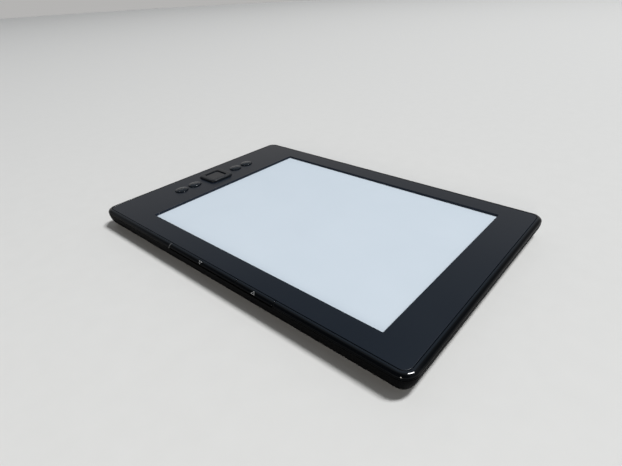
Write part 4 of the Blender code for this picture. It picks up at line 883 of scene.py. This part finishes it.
KEY_SIGNS = {
    "back_key": [
        ([(1.1, -0.75), (1.25, 0.1), (0.7, 0.45), (-1.0, 0.45)], False),
        ([(-0.45, 1.0), (-1.05, 0.45), (-0.45, -0.1)], False),
    ],
    "keyboard_key": [
        *(dash(u, v, 0.13) for v in (0.75, 0.2, -0.35) for u in (-1.2, -0.6, 0.0, 0.6, 1.2)),
        dash(0.0, -0.9, 0.8),
    ],
    "menu_key": [dash(0.0, v, 1.15) for v in (0.75, 0.0, -0.75)],
    "home_key": [
        ([(-0.8, 0.1), (-0.8, -0.9), (0.8, -0.9), (0.8, 0.1)], False),
        ([(-1.25, 0.0), (0.0, 1.05), (1.25, 0.0)], False),
    ],
}
key_black = Finish("key_black")
key_grain = key_black.grain(0.14, detail=3.0)
key_touch = key_black.grain(2.5, detail=2.0)
key_black.surface(
    base_color=key_black.blend(key_touch, (0.007, 0.01, 0.0145), (0.0125, 0.0165, 0.022)),
    roughness=0.1 + 0.06 * key_touch + 0.05 * key_grain,
    normal=key_black.relief(key_grain, depth=0.003),
)
grey_ink = Finish("grey_print")
wear = grey_ink.grain(0.2, detail=3.0)
grey_ink.surface(
    base_color=grey_ink.blend(wear, (0.05, 0.052, 0.056), (0.13, 0.133, 0.138)),
    roughness=0.45 + 0.2 * wear,
    normal=grey_ink.relief(wear, depth=0.002),
)
for node, x in KEY_PLACES.items():
    fitted(oval_key(f"{node}_cap", x), key_black, node, "key", node)
    printed(f"{node}_sign", KEY_SIGNS[node], on_crown(x), KEY_SIGN_LINE, grey_ink, node)


# Five-way control: a rounded square ring that tilts four ways on a thin backing frame, with a square key in
# its middle to select. Both are black plastic mouldings with rounded top edges.

RING_TOP, RING_UNDER, RING_EDGE, RING_FLANGE_TOP = ring_high.z, ring_low.z, 0.6, 7.1
TOP_RUN = 3.0
select_high = extent("select_key")[1]
SELECT_FLANGE, SELECT_CORNER, SELECT_EDGE = 0.55, 1.0, 0.3
SELECT_HALF, SELECT_TOP = select_high.x - SELECT_FLANGE, select_high.z
SELECT_UNDER, SELECT_FLANGE_TOP = 5.85, 6.2
HOLE_HALF, HOLE_CORNER, HOLE_EDGE = SELECT_HALF + KEY_GAP, SELECT_CORNER + KEY_GAP, 0.2


def select_outline(half, corner):
    """The outline of the select key, or of the hole that it sits in."""
    return outline(half, half, corner, (0.0, KEY_ROW))


ring_side = eased(
    [
        (-RING_FLANGE, RING_FLANGE_TOP, 0.0),
        (0.0, RING_FLANGE_TOP, 0.0),
        (0.0, RING_TOP, RING_EDGE),
        (TOP_RUN, RING_TOP, 0.0),
    ]
)
hole_side = eased([(-TOP_RUN, RING_TOP, 0.0), (0.0, RING_TOP, HOLE_EDGE), (0.0, RING_UNDER, 0.0)])
ring_loops = [lifted(ring_outline(RING_FLANGE), RING_UNDER)]
ring_loops += [lifted(ring_outline(-inset), z) for inset, z in ring_side[:-1]]
ring_loops += [
    lifted(select_outline(HOLE_HALF - inset, HOLE_CORNER - inset), z) for inset, z in hole_side[1:]
]
ring = as_object("direction_ring", skinned(ring_loops, closed=True))

ring_black = Finish("ring_black")
ring_grain = ring_black.grain(0.14, detail=3.0)
ring_touch = ring_black.grain(4.0, detail=2.0)
ring_black.surface(
    base_color=ring_black.blend(ring_touch, (0.009, 0.011, 0.0145), (0.0135, 0.0165, 0.0205)),
    roughness=0.26 + 0.08 * ring_touch + 0.06 * ring_grain,
    specular_ior_level=0.4,
    normal=ring_black.relief(ring_grain, depth=0.003),
)
fitted(ring, ring_black, "rocker_ring", "ring", "rocker_ring")
dress(ring_black, "rocker_backing")

select_side = eased(
    [(0.0, SELECT_FLANGE_TOP, 0.0), (0.0, SELECT_TOP, SELECT_EDGE), (TOP_RUN, SELECT_TOP, 0.0)]
)
select_flange = select_outline(SELECT_HALF + SELECT_FLANGE, SELECT_CORNER)
select_loops = [lifted(select_flange, SELECT_UNDER), lifted(select_flange, SELECT_FLANGE_TOP)]
select_loops += [
    lifted(select_outline(SELECT_HALF - inset, SELECT_CORNER - inset), z) for inset, z in select_side[:-1]
]
select = as_object("select_cap", skinned(select_loops))
fitted(select, key_black, "select_key", "key", "select_key")


# Rear shell: a tray that curves from the parting line down to a flat back, moulded in dark grey plastic with
# a soft, finely textured coat. Its lower edge is opened for the inlet, the power button and the charge light.

COVER_TOP, BACK_SETBACK, COVER_WALL, COVER_ROUND, COVER_STEPS = 6.9, 4.6, 1.2, 0.1, 16
PORT_Z, PORT_GAP, PORT_FLARE, PORT_REACH = 4.3, 0.3, 0.25, 4.6
INLET_HALF_X, INLET_HALF_Z, INLET_CHAMFER = 3.75, 1.25, 0.9
BUTTON_HALF_X, BUTTON_HALF_Z, BUTTON_CORNER, BUTTON_STEPS = 3.5, 1.0, 0.95, 8
LIGHT_RADIUS, LIGHT_SIDES = 0.7, 32
CONTACTS, CONTACT_Y = (36.5, 43.5), -58.875
WELL_STEPS = ((2.65, -0.25), (2.3, 0.1), (2.3, 2.2))


def tray_line(wall, top):
    """Setback and height down the tray's side, at that depth under its skin."""
    height = WIDEST - wall
    first = math.asin(1 - (top - wall) / height)
    line = []
    for step in range(COVER_STEPS + 1):
        angle = first + (math.pi / 2 - first) * step / COVER_STEPS
        line.append((wall + BACK_SETBACK * (1 - math.cos(angle)), wall + height * (1 - math.sin(angle))))
    return line


def skin_setback(z):
    """Setback of the tray's skin at a height."""
    rise = 1 - z / WIDEST
    return BACK_SETBACK * (1 - math.sqrt(1 - rise * rise))


SKIN_AT_PORT = -HALF_LENGTH + skin_setback(PORT_Z)


def upright(points, y):
    """A drawing in X and Z, stood up at a Y."""
    return [(x, y, z) for x, z in points]


def through_edge(points_at):
    """A cutter through the lower edge, along Y, that flares a little at the skin."""
    steps = (
        (2 * PORT_FLARE, -HALF_LENGTH - OVERRUN),
        (PORT_FLARE, SKIN_AT_PORT),
        (0.0, SKIN_AT_PORT + PORT_FLARE),
        (0.0, SKIN_AT_PORT + PORT_REACH),
    )
    return skinned([upright(points_at(grow), y) for grow, y in steps])


def inlet_outline(grow):
    left, right = INLET_X - INLET_HALF_X - grow, INLET_X + INLET_HALF_X + grow
    low, high = PORT_Z - INLET_HALF_Z - grow, PORT_Z + INLET_HALF_Z + grow
    return [
        (left, high),
        (left, low + INLET_CHAMFER),
        (left + INLET_CHAMFER, low),
        (right - INLET_CHAMFER, low),
        (right, low + INLET_CHAMFER),
        (right, high),
    ]


def button_outline(grow):
    half_x, half_z = BUTTON_HALF_X + grow, BUTTON_HALF_Z + grow
    return outline(half_x, half_z, BUTTON_CORNER + grow, (BUTTON_X, PORT_Z), BUTTON_STEPS)


def light_outline(grow):
    return oval(LIGHT_RADIUS + grow, LIGHT_RADIUS + grow, (LIGHT_X, PORT_Z), LIGHT_SIDES)


outside = [(setback, z, 0.0) for setback, z in tray_line(0.0, COVER_TOP)]
outside[0] = (*outside[0][:2], COVER_ROUND)
inside = tray_line(COVER_WALL, COVER_TOP)[::-1]
lip = eased([(*inside[-1], 0.0), *outside, (FLAT_RUN, 0.0, 0.0)])[1:-1]
tray = as_object("rear_shell", skinned([round_reader(*point) for point in [*inside, *lip]]))
contact_wells = [
    skinned([lifted(oval(radius, radius, (x, CONTACT_Y)), z) for radius, z in WELL_STEPS])
    for x in CONTACTS
]
port_ways = [
    through_edge(lambda grow, shape=shape: shape(grow + PORT_GAP))
    for shape in (inlet_outline, button_outline, light_outline)
]
cut_from(tray, [*contact_wells, *port_ways])

BACK_BAND = (0.4, 3.0)
soft_coat = Finish("soft_grey_coat")
pebble = soft_coat.cells(size=0.35)
coat_smear = soft_coat.grain(25.0, detail=3.0)
coat_fine = soft_coat.grain(0.2, detail=3.0)
# Painted shade: up from the flat back the shell is painted far darker, so its sides stand in shade.
back = 1 - soft_coat.axis("Z").ramp(*BACK_BAND)
speckle = 0.5 * coat_smear + 0.5 * coat_fine
side_painted_shade = soft_coat.blend(speckle, (0.0009, 0.001, 0.0012), (0.0026, 0.0027, 0.003))
back_tone = soft_coat.blend(speckle, (0.011, 0.0115, 0.0125), (0.021, 0.0215, 0.0225))
soft_coat.surface(
    base_color=soft_coat.blend(back, side_painted_shade, back_tone),
    roughness=0.46 + 0.12 * coat_smear + 0.08 * coat_fine,
    specular_ior_level=0.02,
    coat_weight=0.4 * back,
    coat_roughness=0.42,
    normal=soft_coat.relief(pebble + 0.5 * coat_fine, depth=0.006),
)
fitted(tray, soft_coat, "chassis", "cover", "rear_cover")


# Charging inlet: a shell folded from plated steel sheet, with the inlet's tongue of black plastic inside it.
# Soldered to the board just behind its opening.

INLET_DEPTH, INLET_WALL, INLET_RECESS = 4.3, 0.3, 0.15
INLET_LIP = ((0.0, 0.08), (0.03, 0.02), (0.1, 0.0), (0.22, 0.0), (0.28, 0.02), (INLET_WALL, 0.08))
inlet_front = -HALF_LENGTH + skin_setback(PORT_Z - INLET_HALF_Z) + INLET_RECESS
inlet_back = inlet_front + INLET_DEPTH
inlet_loops = [
    upright(inlet_outline(0.0), inlet_back),
    *(upright(inlet_outline(-thin), inlet_front + inset) for thin, inset in INLET_LIP),
    upright(inlet_outline(-INLET_WALL), inlet_back - INLET_WALL),
]
fitted(as_object("inlet_shell", skinned(inlet_loops)), tinplate, "chassis", "shield", "usb_shell")
dress(switch_black, "usb_tongue")


# Power button: a small rounded bar of satin black plastic that stands just proud of the lower edge and slides
# in on to its switch. Its flange keeps it from falling out.

BUTTON_PROUD, BUTTON_FLANGE, BUTTON_FLANGE_DEPTH = 0.3, 0.5, 0.5
BUTTON_FACE = ((-0.45, 0.0), (-0.25, 0.0), (-0.1, 0.04), (-0.03, 0.11), (0.0, 0.25))
button_front = SKIN_AT_PORT - BUTTON_PROUD
button_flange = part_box("power_button")[1].y / MM - BUTTON_FLANGE_DEPTH
button_steps = (
    *((grow, button_front + inset) for grow, inset in BUTTON_FACE),
    (0.0, button_flange),
    (BUTTON_FLANGE, button_flange),
    (BUTTON_FLANGE, button_flange + BUTTON_FLANGE_DEPTH),
)
button_loops = [upright(button_outline(grow), y) for grow, y in button_steps]
fitted(as_object("power_bar", skinned(button_loops)), key_black, "power_button", "key", "power_button")


# Charge light: a clear pipe of acrylic, held in the lower edge by its flange. A small lamp behind it on the
# board shines through it.

PIPE_FACE = ((-0.2, 0.0), (-0.06, 0.04), (0.0, 0.14))
PIPE_FLANGE, PIPE_FLANGE_DEPTH = 0.4, 0.5
clear = Finish("clear_acrylic")
cast = clear.grain(0.5, detail=2.0)
clear.surface(
    base_color=clear.blend(cast, (0.78, 0.8, 0.78), (0.88, 0.9, 0.88)),
    roughness=0.12 + 0.12 * cast,
    transmission_weight=0.85,
    ior=1.49,
    normal=clear.relief(cast, depth=0.004),
)
pipe_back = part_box("light_pipe")[1].y / MM
pipe_steps = (
    *((grow, SKIN_AT_PORT + inset) for grow, inset in PIPE_FACE),
    (0.0, pipe_back - PIPE_FLANGE_DEPTH),
    (PIPE_FLANGE, pipe_back - PIPE_FLANGE_DEPTH),
    (PIPE_FLANGE, pipe_back),
)
pipe_loops = [upright(light_outline(grow), y) for grow, y in pipe_steps]
fitted(as_object("light_window", skinned(pipe_loops)), clear, "chassis", "clear", "light_pipe")
lamp_body = speckled(
    "lamp_body", (0.66, 0.62, 0.5), (0.8, 0.77, 0.66), size=0.2, roughness=0.4, depth=0.004
)
dress(lamp_body, "status_led")


# Back contacts: two round metal studs with gold plating, for a lighted cover. Their flanges hold them in
# wells, sunk a little into the back.

STUD_RADIUS, STUD_FLANGE, STUD_FLANGE_Z = 2.0, 2.7, 1.3
STUD_FACE = ((1.2, 0.15), (1.82, 0.15), (1.94, 0.19), (STUD_RADIUS, 0.3))
gold = Finish("gold_plate")
spun = gold.grain(0.1, detail=3.0, stretch=(6.0, 1.0, 1.0))
gold.surface(
    base_color=gold.blend(spun, (0.68, 0.42, 0.12), (0.86, 0.6, 0.24)),
    metallic=1.0,
    roughness=0.18 + 0.2 * spun,
    normal=gold.relief(spun, depth=0.003),
)
for number, x in enumerate(CONTACTS, start=1):
    node = f"cover_contact_{number}"
    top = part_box(node)[1].z / MM
    flange = ((STUD_RADIUS, STUD_FLANGE_Z), (STUD_FLANGE, STUD_FLANGE_Z), (STUD_FLANGE, top))
    steps = STUD_FACE + flange
    stud = skinned([lifted(oval(radius, radius, (x, CONTACT_Y)), z) for radius, z in steps])
    fitted(as_object(f"back_stud_{number}", stud), gold, "chassis", "gold", node)


# Studio: a plain pale round floor in a soft room that pales toward its horizon, one large lamp high over the
# reader's left side, one small lamp that glints on the near corner, and the camera low over that corner.

FLOOR_RADIUS, FLOOR_DEPTH = 2200.0, 20.0
floor = as_object("floor", bar(oval(FLOOR_RADIUS, FLOOR_RADIUS, (0.0, 0.0)), -FLOOR_DEPTH, 0.0))
pale = Finish("pale_floor")
board_grain = pale.grain(8.0, detail=3.0)
pale.surface(
    base_color=pale.blend(board_grain, (0.7, 0.69, 0.675), (0.73, 0.72, 0.705)),
    roughness=0.6 + 0.1 * board_grain,
    specular_ior_level=0.2,
)
floor.data.materials.append(pale.material)


def lamp(name, way, distance, size, power, colour):
    """A soft flat lamp that faces the reader."""
    data = bpy.data.lights.new(name, "AREA")
    data.shape = "RECTANGLE"
    data.size, data.size_y = size
    data.energy = power
    data.color = colour
    made = bpy.data.objects.new(name, data)
    made.location = Vector(way).normalized() * distance
    made.rotation_euler = (-Vector(way)).to_track_quat("-Z", "Y").to_euler()
    bpy.context.scene.collection.objects.link(made)


lamp(
    "ceiling_light",
    way=(-0.31, 0.26, 0.915),
    distance=4.0,
    size=(0.55, 1.2),
    power=142.0,
    colour=(0.97, 0.99, 1.0),
)
lamp(
    "room_glint",
    way=(0.86, 0.385, 0.31),
    distance=0.8,
    size=(0.08, 0.2),
    power=1.3,
    colour=(1.0, 0.96, 0.88),
)

world = bpy.data.worlds.new("studio")
world.use_nodes = True
bpy.context.scene.world = world
sky = Shading(world.node_tree)
ROOM, WALL, HORIZON, SHADE = 0.2, 0.2, 0.46, 0.88
COOL, WARM, PALE = (0.87, 0.945, 1.03), (1.02, 0.96, 0.9), (1.0, 0.99, 0.975)
WALL_WAY = (-0.74, -0.67, 0.0)
# The wall ahead of the camera is light and warm, the room on the reader's right is in shade, and both pale
# toward the horizon.
toward = sky.node("ShaderNodeTexCoord", output="Generated")
facing = sky.node("ShaderNodeVectorMath", {"operation": "DOT_PRODUCT"}, {0: toward, 1: WALL_WAY}, "Value")
rising = sky.node("ShaderNodeSeparateXYZ", sockets={"Vector": toward}, output="Z")
beside = sky.node("ShaderNodeSeparateXYZ", sockets={"Vector": toward}, output="X")
wall = facing.ramp(0.2, 0.8) * (1 - rising.ramp(0.3, 0.7))
low_shade = beside.ramp(0.25, 0.68) * (1 - rising.ramp(0.55, 0.9))
high_shade = beside.ramp(-0.05, 0.3) * rising.ramp(0.4, 0.6)
shade = low_shade.most(high_shade)
low = 1 - rising.ramp(0.16, 0.32)
tint = sky.blend(low, sky.blend(wall, COOL, WARM), PALE)
strength = (ROOM + WALL * wall) * (1 - SHADE * shade) * (1 - low) + HORIZON * low
sky.feed(world.node_tree.nodes["Background"], {"Color": tint, "Strength": strength})

CAMERA_PLACE = (0.1303, 0.1162, 0.1007)
CAMERA_RIGHT, CAMERA_FORWARD = (-0.6521, 0.7571, -0.0389), (-0.6390, -0.5765, -0.5092)
eye = bpy.data.objects.new("camera", bpy.data.cameras.new("camera"))
eye.data.sensor_width = 36.0
eye.data.lens = 25.1
eye.data.clip_start = 0.005
forward = Vector(CAMERA_FORWARD).normalized()
up = Vector(CAMERA_RIGHT).cross(forward).normalized()
right = forward.cross(up).normalized()
facing_reader = Matrix((right, up, -forward)).transposed().to_4x4()
eye.matrix_world = Matrix.Translation(CAMERA_PLACE) @ facing_reader
bpy.context.scene.collection.objects.link(eye)
bpy.context.scene.camera = eye
bpy.context.scene.view_settings.view_transform = "Standard"
